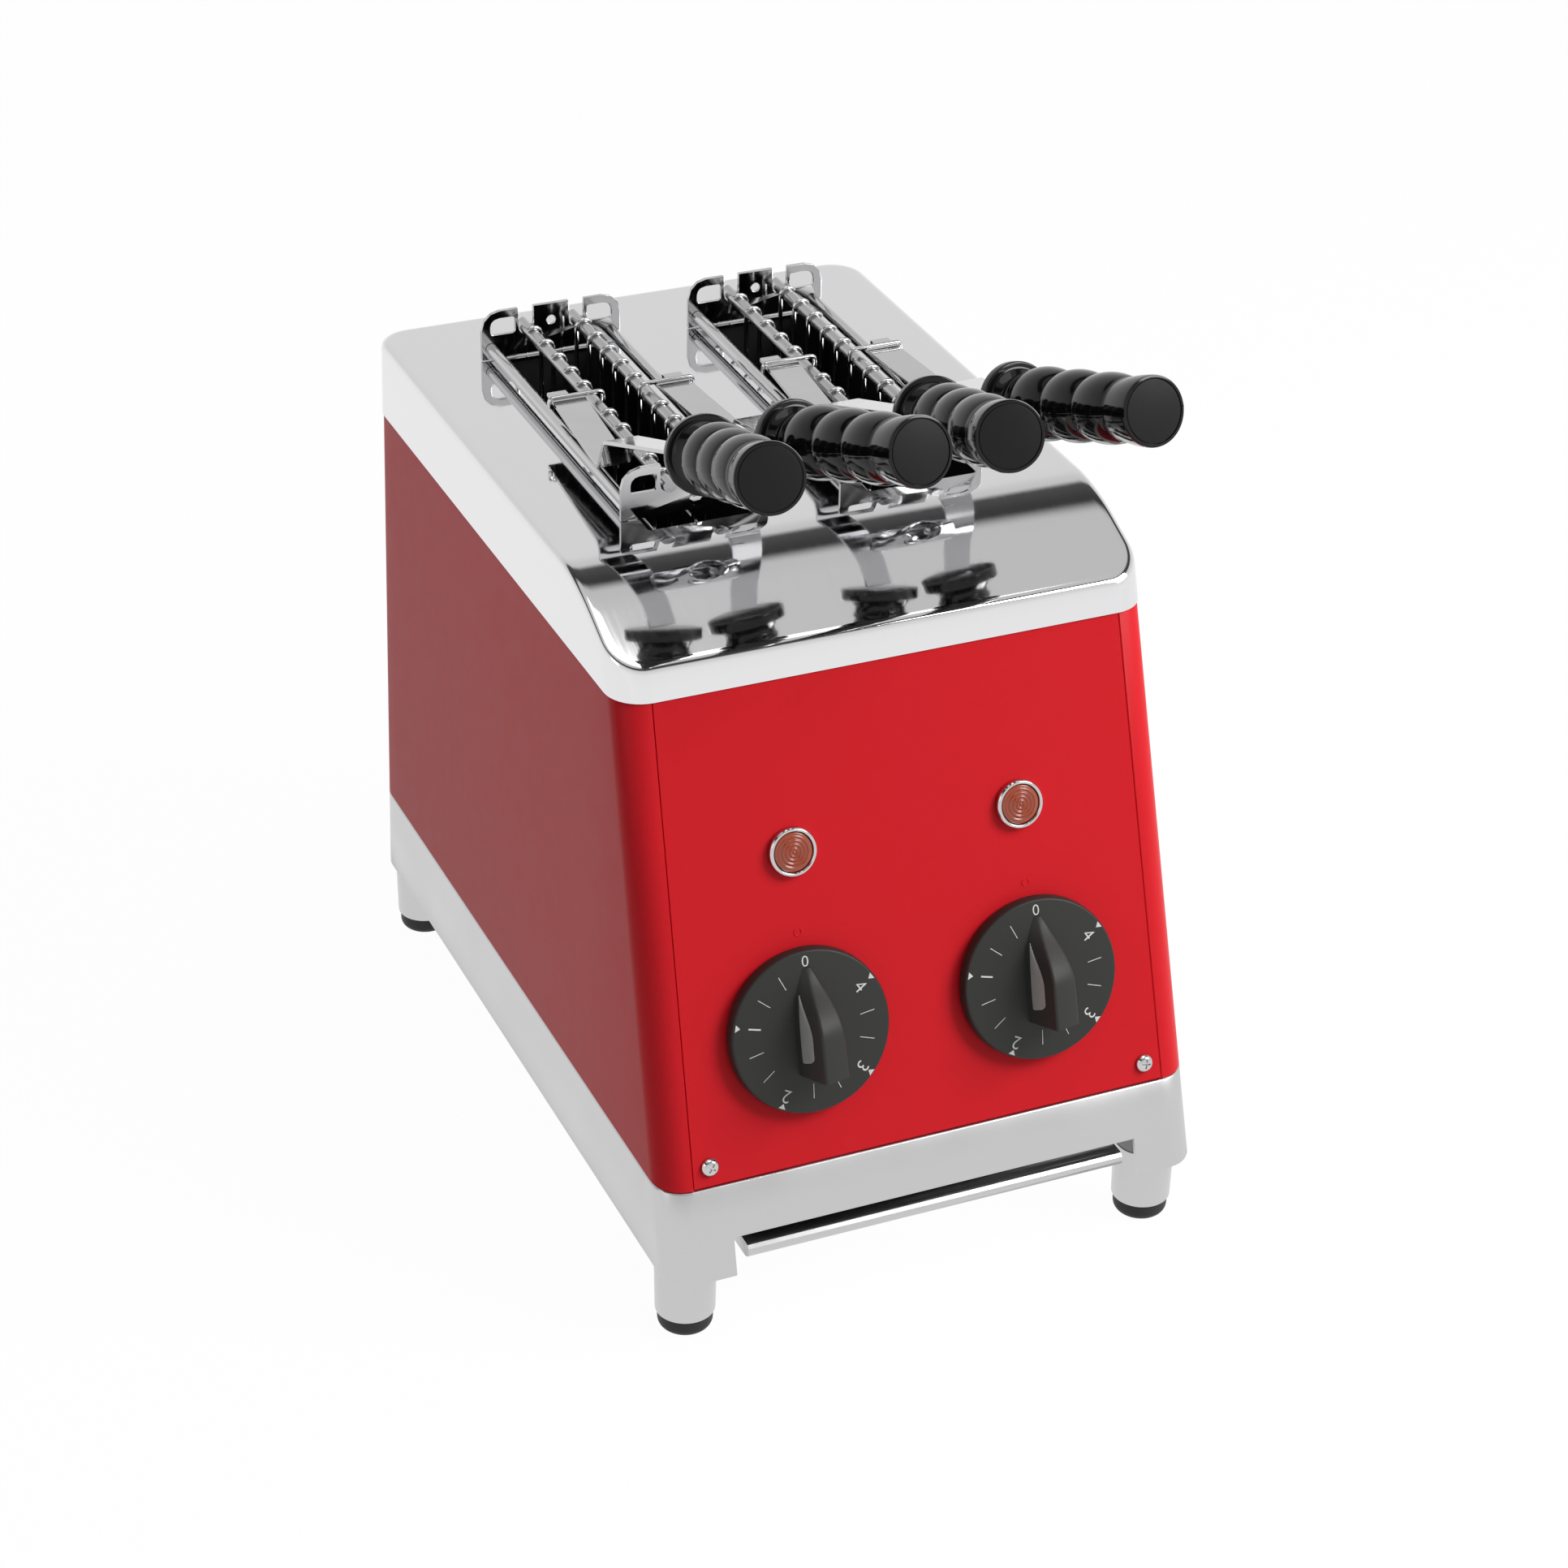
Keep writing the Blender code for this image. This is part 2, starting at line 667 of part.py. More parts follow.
def build_gland(material):
    """The bushing that the supply cable would leave through, in the base's back wall."""
    flange = -CLEARANCE
    outer = flange - GLAND_FLANGE_THICKNESS
    inner = outer + GLAND_SLEEVE_LENGTH
    profile = [
        (GLAND_BORE_RADIUS, inner),
        (GLAND_SLEEVE_RADIUS, inner),
        (GLAND_SLEEVE_RADIUS, flange),
        (GLAND_FLANGE_RADIUS, flange),
        (GLAND_FLANGE_RADIUS, outer),
        (GLAND_BORE_RADIUS, outer),
        (GLAND_BORE_RADIUS, inner),
    ]
    gland = add_turned("cable_gland", profile, material)
    gland.location = (GLAND_X, at_depth(0), GLAND_HEIGHT)
    gland.rotation_euler = (math.pi / 2, 0, 0)


# Housing, panel and cover


def panel_outline(bottom, top, inset):
    """A trapezium in the panel's plane between two heights, narrower by an inset on each side."""
    low, high = half_width(bottom) - inset, half_width(top) - inset
    foot, head = ((height - HOUSING_FOOT) / math.cos(LEAN) for height in (bottom, top))
    return [(-low, foot), (low, foot), (high, head), (-high, head)]


def build_wrap(material):
    """A sheet bent round the sides and the back, whose front returns carry the panel."""
    foot = HOUSING_FOOT + CLEARANCE
    top = COVER_EDGE - CLEARANCE
    backing = PANEL_SHEET + CLEARANCE
    wrap = add_part("housing_wrap", hull_mesh(foot, top), material)
    hollow = hull_mesh(foot - OVERRUN, top + OVERRUN, SHEET, backing + SHEET)
    combine(wrap, add_part("wrap_hollow", hollow))
    for name, narrower, thickness in (
        ("seam", 0, 2 * backing),
        ("flange", RETURN_FLANGE, 2 * OVERRUN),
    ):
        outline = panel_outline(foot - OVERRUN, top + OVERRUN, SEAM_FROM_CORNER + narrower)
        window = add_part(f"wrap_{name}", plate_mesh([outline], thickness), None, panel_plane)
        combine(wrap, window)
    for name, side in SIDES.items():
        hole = cylinder_mesh(SCREW_SHANK_RADIUS + SCREW_HOLE_PLAY, -OVERRUN, OVERRUN)
        cutter = add_part(f"wrap_screw_hole_{name}", hole, None, panel_plane)
        cutter.location = (side * PANEL_SCREW_X, PANEL_SCREW_UP, 0)
        combine(wrap, cutter)
    return wrap


def build_panel(material):
    """The leaning front sheet with its holes for screws, lamps and timer shafts."""
    foot = HOUSING_FOOT + PANEL_FOOT_GAP
    outlines = [panel_outline(foot, COVER_EDGE - CLEARANCE, SEAM_FROM_CORNER + CLEARANCE)]
    for side in SIDES.values():
        screw_hole = SCREW_SHANK_RADIUS + SCREW_HOLE_PLAY
        outlines.append(circle(screw_hole, side * PANEL_SCREW_X, PANEL_SCREW_UP))
        outlines.append(circle(PANEL_SHAFT_HOLE_RADIUS, side * KNOB_X, KNOB_UP))
        outlines.append(circle(BEZEL_SLEEVE_RADIUS + CLEARANCE, side * LAMP_X, LAMP_UP))
    mesh = plate_mesh(outlines, PANEL_SHEET)
    panel = add_part("front_panel", mesh, material, panel_plane)
    panel.location = (0, 0, -PANEL_SHEET / 2)
    return panel


def screw_profile(head_radius, head_height, shank_radius, shank_length):
    """A pan-headed screw seated a clearance above z = 0."""
    crown = head_height + CLEARANCE
    return [
        (0, crown),
        (head_radius * CROWN_RADIUS_SHARE, crown),
        (head_radius * SHOULDER_RADIUS_SHARE, CLEARANCE + head_height * SHOULDER_HEIGHT_SHARE),
        (head_radius, CLEARANCE + head_height * SIDE_HEIGHT_SHARE),
        (head_radius, CLEARANCE),
        (shank_radius, CLEARANCE),
        (shank_radius, -shank_length),
        (0, -shank_length),
    ]


def build_panel_screws(material):
    profile = screw_profile(SCREW_HEAD_RADIUS, SCREW_HEAD_HEIGHT, SCREW_SHANK_RADIUS, SCREW_SHANK_LENGTH)
    for name, side in SIDES.items():
        screw = add_turned(f"panel_screw_{name}", profile, material, panel_plane)
        screw.location = (side * PANEL_SCREW_X, PANEL_SCREW_UP, 0)


def cover_profile(inset, foot):
    """Side outline of the cover, as (depth, height): a flat top that rolls down to a steep front."""
    top = COVER_TOP - inset
    back = inset - COVER_PROUD
    roll = []
    for step in range(2 * ARC_STEPS + 1):
        share = step / (2 * ARC_STEPS)
        roll.append((ROLL_START_DEPTH + share * ROLL_RUN, top - ROLL_DROP * share**2))
    last_depth, last_height = roll[-1]
    proud = COVER_PROUD - inset
    both_slopes = FRONT_LEAN_SHARE * FOLD_SLOPE_SHARE
    reach = front_depth(last_height) + proud - both_slopes * last_depth
    fold_depth = reach / (1 - both_slopes)
    fold_height = last_height - FOLD_SLOPE_SHARE * (fold_depth - last_depth)
    front_foot = (front_depth(foot) + proud, foot)
    return [(back, foot), (back, top), *roll, (fold_depth, fold_height), front_foot]


def cover_solid(name, inset, foot):
    """The cover's form, filled: its side outline cut to the leaning, round-cornered body."""
    outline = [(-depth, height) for depth, height in cover_profile(inset, foot)]
    mesh = plate_mesh([outline], BODY_WIDTH + OVERRUN)
    turned = Matrix(((0, 0, 1, 0), (1, 0, 0, CENTRE_DEPTH), (0, 1, 0, 0), (0, 0, 0, 1)))
    mesh.transform(turned)
    block = add_part(name, mesh)
    limits = hull_mesh(foot - OVERRUN, COVER_TOP + OVERRUN, inset - COVER_PROUD)
    combine(block, add_part(f"{name}_limits", limits), "INTERSECT")
    bevel = block.modifiers.new("edges", "BEVEL")
    bevel.width = max(EDGE_RADIUS - inset, EDGE_RADIUS / 2)
    bevel.segments = EDGE_SEGMENTS
    bevel.limit_method = "ANGLE"
    bevel.angle_limit = math.radians(EDGE_ANGLE_DEGREES)
    bevel.use_clamp_overlap = True
    return block


def build_cover(material):
    """The polished cover: a shell with two toasting slots."""
    cover = cover_solid("top_cover", 0, COVER_EDGE - OVERRUN)
    cover.data.materials.append(material)
    below = depth_box(BODY_WIDTH, 0, -OVERRUN, 2 * BODY_DEPTH, COVER_EDGE - 2 * OVERRUN, COVER_EDGE)
    combine(cover, add_part("cover_trim", below))
    combine(cover, cover_solid("cover_hollow", COVER_SHEET, COVER_EDGE - 2 * OVERRUN))
    for name, side in SIDES.items():
        slot = depth_box(
            SLOT_HALF_WIDTH,
            side * SLOT_X,
            SLOT_BACK_DEPTH,
            SLOT_FRONT_DEPTH,
            COVER_TOP - OVERRUN,
            COVER_TOP + OVERRUN,
        )
        combine(cover, add_part(f"cover_slot_{name}", slot))
    return cover


# Chambers and heaters


def build_chambers(material):
    """Open-ended heat boxes between the base's deck and the cover, one under each slot."""
    floor = HOUSING_FOOT + CLEARANCE
    roof = COVER_TOP - COVER_SHEET - CLEARANCE
    back = SLOT_BACK_DEPTH - CHAMBER_END_ROOM
    front = SLOT_FRONT_DEPTH + CHAMBER_END_ROOM
    for name, side in SIDES.items():
        x = side * SLOT_X
        outer = depth_box(
            CHAMBER_HALF_WIDTH + CHAMBER_SHEET,
            x,
            back - CHAMBER_SHEET,
            front + CHAMBER_SHEET,
            floor,
            roof,
        )
        room = depth_box(CHAMBER_HALF_WIDTH, x, back, front, floor - OVERRUN, roof + OVERRUN)
        chamber = add_part(f"heat_chamber_{name}", outer, material)
        combine(chamber, add_part(f"chamber_room_{name}", room))


def build_heaters(material):
    """Three upright-stacked heating tubes on each chamber wall, joined by an end strip at each end."""
    tube_out = CHAMBER_HALF_WIDTH - HEATER_WALL_GAP - HEATER_TUBE_RADIUS
    back = SLOT_BACK_DEPTH - CHAMBER_END_ROOM + CLEARANCE
    front = SLOT_FRONT_DEPTH + CHAMBER_END_ROOM - CLEARANCE
    strip_half = HEATER_STRIP_WIDTH / 2
    for unit, unit_side in SIDES.items():
        for wall, wall_side in SIDES.items():
            x = unit_side * SLOT_X + wall_side * tube_out
            strip_out = CHAMBER_HALF_WIDTH - CLEARANCE - strip_half
            strip_centre = unit_side * SLOT_X + wall_side * strip_out
            low = HEATER_HEIGHTS[0] - HEATER_STRIP_OVERHANG
            high = HEATER_HEIGHTS[-1] + HEATER_STRIP_OVERHANG
            strips = [
                depth_box(strip_half, strip_centre, back, back + HEATER_STRIP_SHEET, low, high),
                depth_box(strip_half, strip_centre, front - HEATER_STRIP_SHEET, front, low, high),
            ]
            name = f"heater_{unit}_{wall}"
            heater = add_part(name, strips[0], material)
            combine(heater, add_part(f"{name}_strip", strips[1], material), "UNION")
            inside = HEATER_STRIP_SHEET / 2
            ends = [at_depth(back + inside), at_depth(front - inside)]
            tubes = [[(x, end, height) for end in ends] for height in HEATER_HEIGHTS]
            tubes_mesh = wire_mesh(tubes, HEATER_TUBE_RADIUS, RAIL_RESOLUTION)
            combine(heater, add_part(f"{name}_tubes", tubes_mesh, material), "UNION")


# Timers, knobs and lamps


def grip_flanks(share):
    """Left foot, left top, right top and right foot of the grip, as (x, z), from tip 0 to end 1."""
    ramp = (1 - math.cos(math.pi * min(1, share / GRIP_RAMP_SHARE))) / 2
    left_bulge = 1 - (1 - share) ** GRIP_LEFT_POWER
    left_foot = GRIP_TIP_HALF_WIDTH + (GRIP_LEFT_FOOT - GRIP_TIP_HALF_WIDTH) * left_bulge
    left_top = GRIP_LEFT_TOP * ramp
    right_bulge = 1 - (1 - share) ** GRIP_RIGHT_POWER
    right_top = GRIP_TIP_HALF_WIDTH + (GRIP_RIGHT_TOP - GRIP_TIP_HALF_WIDTH) * right_bulge
    face = KNOB_FACE_HEIGHT
    return (
        (-left_foot, face),
        (-left_top, face + GRIP_TIP_RISE + (GRIP_LEFT_HEIGHT - GRIP_TIP_RISE) * ramp),
        (right_top, face + GRIP_TIP_RISE + (GRIP_RIGHT_HEIGHT - GRIP_TIP_RISE) * ramp),
        (right_top + GRIP_RIGHT_DRAFT, face),
    )


def grip_up(share):
    """Place up the panel, from the knob's centre, of a share of the grip's length."""
    return GRIP_TIP_UP - share * (GRIP_TIP_UP + GRIP_FOOT_DOWN)


def grip_mesh():
    """The pointer grip: a fin that rises from its tip, its root sunk in the knob's disc."""
    sections = []
    for step in range(GRIP_STEPS + 1):
        share = (step / GRIP_STEPS) ** GRIP_SPACING_POWER
        corners = grip_flanks(share)
        root = KNOB_FACE_HEIGHT - GRIP_ROOT
        ring = [(corners[0][0], root), *corners, (corners[3][0], root)]
        sections.append([(x, grip_up(share), z) for x, z in ring])
    return loft_mesh(sections)


def insert_mesh():
    """The light insert let into the grip's left flank, following the flank as it rises."""
    sections = []
    for step in range(INSERT_STEPS + 1):
        along = step / INSERT_STEPS
        share = INSERT_START_SHARE + along * (INSERT_END_SHARE - INSERT_START_SHARE)
        foot, top = (Vector(corner) for corner in grip_flanks(share)[:2])
        swell = math.sin(math.pi / 2 * min(1, along * INSERT_SWELL_RATE))
        belly = swell * min(1, INSERT_TAIL_RATE * (1 - along) + INSERT_TAIL_SHARE)
        high = INSERT_TIP_HIGH_SHARE + (INSERT_HIGH_SHARE - INSERT_TIP_HIGH_SHARE) * belly
        outward = (foot - top).normalized()
        outward = Vector((-abs(outward.y), abs(outward.x)))
        low_edge = foot.lerp(top, INSERT_LOW_SHARE)
        high_edge = foot.lerp(top, high)
        inner, outer = outward * CLEARANCE, outward * (CLEARANCE + INSERT_THICKNESS)
        ring = [low_edge + inner, high_edge + inner, high_edge + outer, low_edge + outer]
        sections.append([(x, grip_up(share), z) for x, z in ring])
    return loft_mesh(sections)


def build_timer(name, side, materials):
    """A timer behind the panel, its shaft through the panel and the knob on the shaft."""
    centre = add_empty(f"timer_axis_{name}", (side * KNOB_X, KNOB_UP, 0), parent=panel_plane)
    seat = -PANEL_SHEET - CLEARANCE
    half = TIMER_SIDE / 2
    body_front = seat - SHEET
    body = add_part(
        f"timer_body_{name}",
        box_mesh((-half, -half, body_front - TIMER_BODY_DEPTH), (half, half, body_front)),
        materials["timer"],
        centre,
    )
    neck = cylinder_mesh(TIMER_NECK_RADIUS, body_front - SHEET, seat)
    combine(body, add_part(f"timer_neck_{name}", neck, None, centre), "UNION")
    bore = cylinder_mesh(SHAFT_RADIUS + SHAFT_PLAY, seat - SHAFT_IN_TIMER - SHAFT_PLAY, OVERRUN)
    combine(body, add_part(f"timer_bore_{name}", bore, None, centre))

    shaft_top = KNOB_STANDOFF + SHAFT_IN_KNOB
    shaft = cylinder_mesh(SHAFT_RADIUS, seat - SHAFT_IN_TIMER, shaft_top)
    add_part(f"timer_shaft_{name}", shaft, materials["chrome"], centre)

    rim = KNOB_STANDOFF
    profile = [
        (0, KNOB_FACE_HEIGHT),
        (KNOB_FACE_RADIUS - KNOB_RIM_EASE, KNOB_FACE_HEIGHT),
        (KNOB_FACE_RADIUS, KNOB_FACE_HEIGHT - KNOB_RIM_EASE),
        (KNOB_RIM_RADIUS, rim),
        (0, rim),
    ]
    knob = add_turned(f"timer_knob_{name}", profile, materials["knob"], centre, KNOB_STEPS)
    combine(knob, add_part(f"knob_grip_{name}", grip_mesh(), materials["knob"], centre), "UNION")
    socket = cylinder_mesh(SHAFT_RADIUS + SHAFT_PLAY, rim - OVERRUN, shaft_top + SHAFT_PLAY)
    combine(knob, add_part(f"knob_socket_{name}", socket, None, centre))
    add_part(f"knob_insert_{name}", insert_mesh(), materials["insert"], centre)


def build_lamp(name, side, materials):
    """An indicator lamp: a chromed bezel with its sleeve through the panel, round a domed lens."""
    seat = CLEARANCE
    face = seat + BEZEL_HEIGHT
    bezel = [
        (BEZEL_BORE_RADIUS, face),
        (BEZEL_RADIUS - BEZEL_EASE, face),
        (BEZEL_RADIUS, face - BEZEL_EASE),
        (BEZEL_RADIUS, seat),
        (BEZEL_SLEEVE_RADIUS, seat),
        (BEZEL_SLEEVE_RADIUS, -BEZEL_SLEEVE_LENGTH),
        (BEZEL_BORE_RADIUS, -BEZEL_SLEEVE_LENGTH),
        (BEZEL_BORE_RADIUS, face),
    ]
    lens_radius = BEZEL_BORE_RADIUS - CLEARANCE
    lens = []
    for step in range(ARC_STEPS + 1):
        turned = math.pi / 2 * step / ARC_STEPS
        lens.append((lens_radius * math.sin(turned), face + LENS_CROWN * (math.cos(turned) - 1 / 2)))
    lens += [(lens_radius, -LENS_STEM_LENGTH), (0, -LENS_STEM_LENGTH)]
    place = (side * LAMP_X, LAMP_UP, 0)
    add_turned(f"lamp_bezel_{name}", bezel, materials["chrome"], panel_plane).location = place
    add_turned(f"lamp_lens_{name}", lens, materials["amber"], panel_plane).location = place


# Brackets and side tubes


def bracket_outlines(hole_up, hole_radius):
    """A bracket plate seen from the front, as (x, height above the cover), with open rail cradles."""
    cradle = RAIL_RADIUS + CRADLE_PLAY
    floor = RAIL_HEIGHT - COVER_TOP - RAIL_RADIUS - CLEARANCE
    corners = [(-BRACKET_HALF_WIDTH, CLEARANCE), (BRACKET_HALF_WIDTH, CLEARANCE)]
    corners.append((BRACKET_HALF_WIDTH, BRACKET_HEIGHT))
    radii = [0, 0, BRACKET_CORNER_RADIUS]
    for side in (1, -1):
        near, far = side * RAIL_X + cradle, side * RAIL_X - cradle
        corners += [(near, BRACKET_HEIGHT), (near, floor), (far, floor), (far, BRACKET_HEIGHT)]
        radii += [0, cradle, cradle, 0]
    corners.append((-BRACKET_HALF_WIDTH, BRACKET_HEIGHT))
    radii.append(BRACKET_CORNER_RADIUS)
    outlines = [rounded(corners, radii)]
    for side in (-1, 1):
        window = [
            (side * WINDOW_INNER_X, WINDOW_FOOT),
            (side * WINDOW_OUTER_X, WINDOW_FOOT),
            (side * WINDOW_OUTER_X, WINDOW_TOP),
            (side * WINDOW_INNER_X, WINDOW_TOP),
        ]
        small, large = WINDOW_SMALL_RADIUS, WINDOW_LARGE_RADIUS
        outlines.append(rounded(window, [small, small, large, small]))
    outlines.append(circle(hole_radius, 0, hole_up))
    return outlines


def build_brackets(unit, side, materials):
    """The back and front bracket plates of one slot, the tubes between them and the front rivet."""
    x = side * SLOT_X
    rows = {
        "back": (BRACKET_BACK_DEPTH, BRACKET_HOLE_UP, BRACKET_HOLE_RADIUS),
        "front": (BRACKET_FRONT_DEPTH, RIVET_UP, RIVET_SHANK_RADIUS + CLEARANCE),
    }
    for row, (depth, hole_up, hole_radius) in rows.items():
        mesh = plate_mesh(bracket_outlines(hole_up, hole_radius), BRACKET_SHEET)
        bracket = add_part(f"bracket_{row}_{unit}", mesh, materials["chrome"])
        bracket.location = (x, at_depth(depth), COVER_TOP)
        bracket.rotation_euler = (math.pi / 2, 0, 0)
    back = BRACKET_BACK_DEPTH + BRACKET_SHEET / 2 + CLEARANCE
    front = BRACKET_FRONT_DEPTH - BRACKET_SHEET / 2 - CLEARANCE
    for edge, edge_side in SIDES.items():
        tube = add_part(
            f"side_tube_{unit}_{edge}",
            wire_mesh([[(0, 0, 0), (0, back - front, 0)]], TUBE_RADIUS, TUBE_RESOLUTION),
            materials["chrome"],
        )
        tube.location = (x + edge_side * TUBE_X, at_depth(back), COVER_TOP + TUBE_UP)
    profile = screw_profile(RIVET_HEAD_RADIUS, RIVET_HEAD_HEIGHT, RIVET_SHANK_RADIUS, BRACKET_SHEET)
    rivet = add_turned(f"bracket_rivet_{unit}", profile, materials["chrome"])
    rivet.location = (x, at_depth(BRACKET_FRONT_DEPTH + BRACKET_SHEET / 2), COVER_TOP + RIVET_UP)
    rivet.rotation_euler = (math.pi / 2, 0, 0)


# Tongs


def arm_out(depth):
    """How far outward of the rail the arm's middle lies, at a depth along its flat length."""
    share = (depth - ARM_BACK_DEPTH) / (ARM_BEND_DEPTH - ARM_BACK_DEPTH)
    return ARM_BACK_OUT + share * (ARM_FRONT_OUT - ARM_BACK_OUT)


def hanging_wire(depth, side, clip):
    """Path of one grid wire, from its toe up to its hook over the rail, about the rail's axis."""
    reach = RAIL_RADIUS + WIRE_RADIUS - WELD_BITE
    toe = [(-reach - GRID_TOE, -GRID_DROP), (-reach, -GRID_DROP), (-reach, 0)]
    path = rounded(toe, [0, GRID_BEND, 0], False, BEND_STEPS)
    if clip:
        over = ARM_RISE + ARM_SHEET / 2 + WIRE_RADIUS + CLEARANCE
        past = arm_out(depth + WIRE_RADIUS) + ARM_HALF_WIDTH + WIRE_RADIUS + CLEARANCE
        hook = rounded(
            [(-reach, 0), (-reach, over), (past, over), (past, ARM_RISE - ARM_SHEET)],
            [0, 2 * WIRE_RADIUS, 2 * WIRE_RADIUS, 0],
            False,
            BEND_STEPS,
        )
        path += hook[1:]
    else:
        for step in range(1, HOOK_STEPS):
            turned = math.pi * (1 - step / HOOK_STEPS)
            path.append((reach * math.cos(turned), reach * math.sin(turned)))
    return [(side * out, at_depth(depth), up) for out, up in path]


def build_grid(name, side, axis, material):
    """One jaw's grid: the rail, the wires that hang from it and the cross wires welded behind them."""
    rail = [(0, at_depth(RAIL_BACK_DEPTH), 0), (0, at_depth(RAIL_FRONT_DEPTH), 0)]
    grid = add_part(f"jaw_grid_{name}", wire_mesh([rail], RAIL_RADIUS, RAIL_RESOLUTION), material, axis)
    depths = [WIRE_FIRST_DEPTH + i * WIRE_PITCH for i in range(WIRE_COUNT)]
    hung = [hanging_wire(depth, side, i == CLIP_WIRE_INDEX) for i, depth in enumerate(depths)]
    wires = add_part(f"{name}_wires", wire_mesh(hung, WIRE_RADIUS, WIRE_RESOLUTION), None, axis)
    combine(grid, wires, "UNION")
    out = side * (CROSS_WIRE_RADIUS - RAIL_RADIUS)
    gap = (GRID_DROP - CROSS_WIRE_TOP_DROP) / CROSS_WIRE_COUNT
    ends = [
        at_depth(depth)
        for depth in (depths[0] - CROSS_WIRE_OVERHANG, depths[-1] + CROSS_WIRE_OVERHANG)
    ]
    heights = [-CROSS_WIRE_TOP_DROP - i * gap for i in range(CROSS_WIRE_COUNT)]
    crossing = [[(out, end, height) for end in ends] for height in heights]
    cross_mesh = wire_mesh(crossing, CROSS_WIRE_RADIUS, WIRE_RESOLUTION)
    combine(grid, add_part(f"{name}_cross", cross_mesh, None, axis), "UNION")


def handle_matrix(side):
    """Place and turn of a handle about its jaw's axis: local z runs from the collar to the cap."""
    pitch = math.radians(HANDLE_PITCH_DEGREES)
    yaw = math.radians(HANDLE_YAW_DEGREES)
    flat = Vector((side * math.sin(yaw), -math.cos(yaw), 0))
    along = (flat * math.cos(pitch) + Vector((0, 0, math.sin(pitch)))).normalized()
    across = Vector((1, 0, 0)) - along * along.x
    across.normalize()
    up = along.cross(across)
    turned = Matrix((across, up, along)).transposed().to_4x4()
    place = Vector((side * COLLAR_OUT, at_depth(COLLAR_DEPTH), COLLAR_HEIGHT - RAIL_HEIGHT))
    return Matrix.Translation(place) @ turned


def arm_spine(side):
    """Corners of an arm's middle line, from its back end to the collar, as (outward, y, height)."""
    to_handle = handle_matrix(side)
    along = Vector(to_handle.col[2][:3])
    turned_in = ARM_WAIST_HALF_WIDTH * math.tan(math.radians(HANDLE_YAW_DEGREES))
    end = to_handle.translation - along * (COLLAR_THICKNESS / 2 + CLEARANCE + turned_in)
    return [
        (ARM_BACK_OUT, at_depth(ARM_BACK_DEPTH), ARM_RISE),
        (ARM_FRONT_OUT, at_depth(ARM_BEND_DEPTH), ARM_RISE),
        (ARM_FRONT_OUT, at_depth(ARM_STEP_DEPTH), ARM_RISE + ARM_STEP_RISE),
        (abs(end.x), end.y, end.z),
    ]


def build_arm(name, side, axis, material):
    """A flat arm beside the rail that steps up and rises to the handle's collar."""
    spine = arm_spine(side)
    path = rounded(spine, [0, ARM_BEND_RADIUS, ARM_BEND_RADIUS, 0], False)
    length = abs(spine[-1][1] - spine[2][1])
    mesh = bpy.data.meshes.new("arm")
    shape = bmesh.new()
    rows = []
    for out, y, z in path:
        forward = max(0, (spine[2][1] - y) / length)
        half = ARM_HALF_WIDTH + (ARM_WAIST_HALF_WIDTH - ARM_HALF_WIDTH) * forward
        rows.append([shape.verts.new((side * (out + edge * half), y, z)) for edge in (-1, 1)])
    for row, following in zip(rows, rows[1:]):
        shape.faces.new((row[0], row[1], following[1], following[0]))
    shape.to_mesh(mesh)
    shape.free()
    arm = add_part(f"arm_{name}", mesh, material, axis)
    solid = arm.modifiers.new("sheet", "SOLIDIFY")
    solid.thickness = ARM_SHEET
    solid.offset = 0
    solid.use_even_offset = True
    inner = ARM_BACK_OUT - ARM_HALF_WIDTH
    xs = sorted((side * (inner - ARM_SHEET), side * (inner + ARM_NOTCH_WIDTH)))
    notch = box_mesh(
        (xs[0], at_depth(ARM_BACK_DEPTH + ARM_NOTCH_LENGTH), ARM_RISE - OVERRUN),
        (xs[1], at_depth(ARM_BACK_DEPTH - ARM_SHEET), ARM_RISE + OVERRUN),
    )
    combine(arm, add_part(f"arm_notch_{name}", notch, None, axis))


def handle_profile():
    """Radius and height pairs from the cap down to the collar's back, over the grip's lobes."""
    end = HANDLE_LENGTH
    back, front = -COLLAR_THICKNESS / 2, COLLAR_THICKNESS / 2
    profile = [(0, end), (CAP_RADIUS - CAP_EASE, end), (CAP_RADIUS, end - CAP_EASE)]
    for lobe in reversed(range(LOBE_COUNT)):
        crest = LOBE_RADIUS - lobe * LOBE_TAPER
        for step in range(LOBE_STEPS):
            share = 1 - step / LOBE_STEPS
            height = NECK_LENGTH + (lobe + share) * LOBE_PITCH
            swell = math.sin(math.pi * share) ** LOBE_SWELL_POWER if 0 < share < 1 else 0
            profile.append((GROOVE_RADIUS + (crest - GROOVE_RADIUS) * swell, height))
    profile += [
        (GROOVE_RADIUS, NECK_LENGTH),
        (NECK_RADIUS, NECK_LENGTH - NECK_LENGTH / 6),
        (NECK_RADIUS, front + NECK_LENGTH / 4),
        (COLLAR_RADIUS * COLLAR_NECK_SHARE, front),
        (COLLAR_RADIUS - COLLAR_EASE, front),
        (COLLAR_RADIUS, front - COLLAR_EASE),
        (COLLAR_RADIUS, back + COLLAR_EASE),
        (COLLAR_RADIUS - COLLAR_EASE, back),
        (0, back),
    ]
    return profile


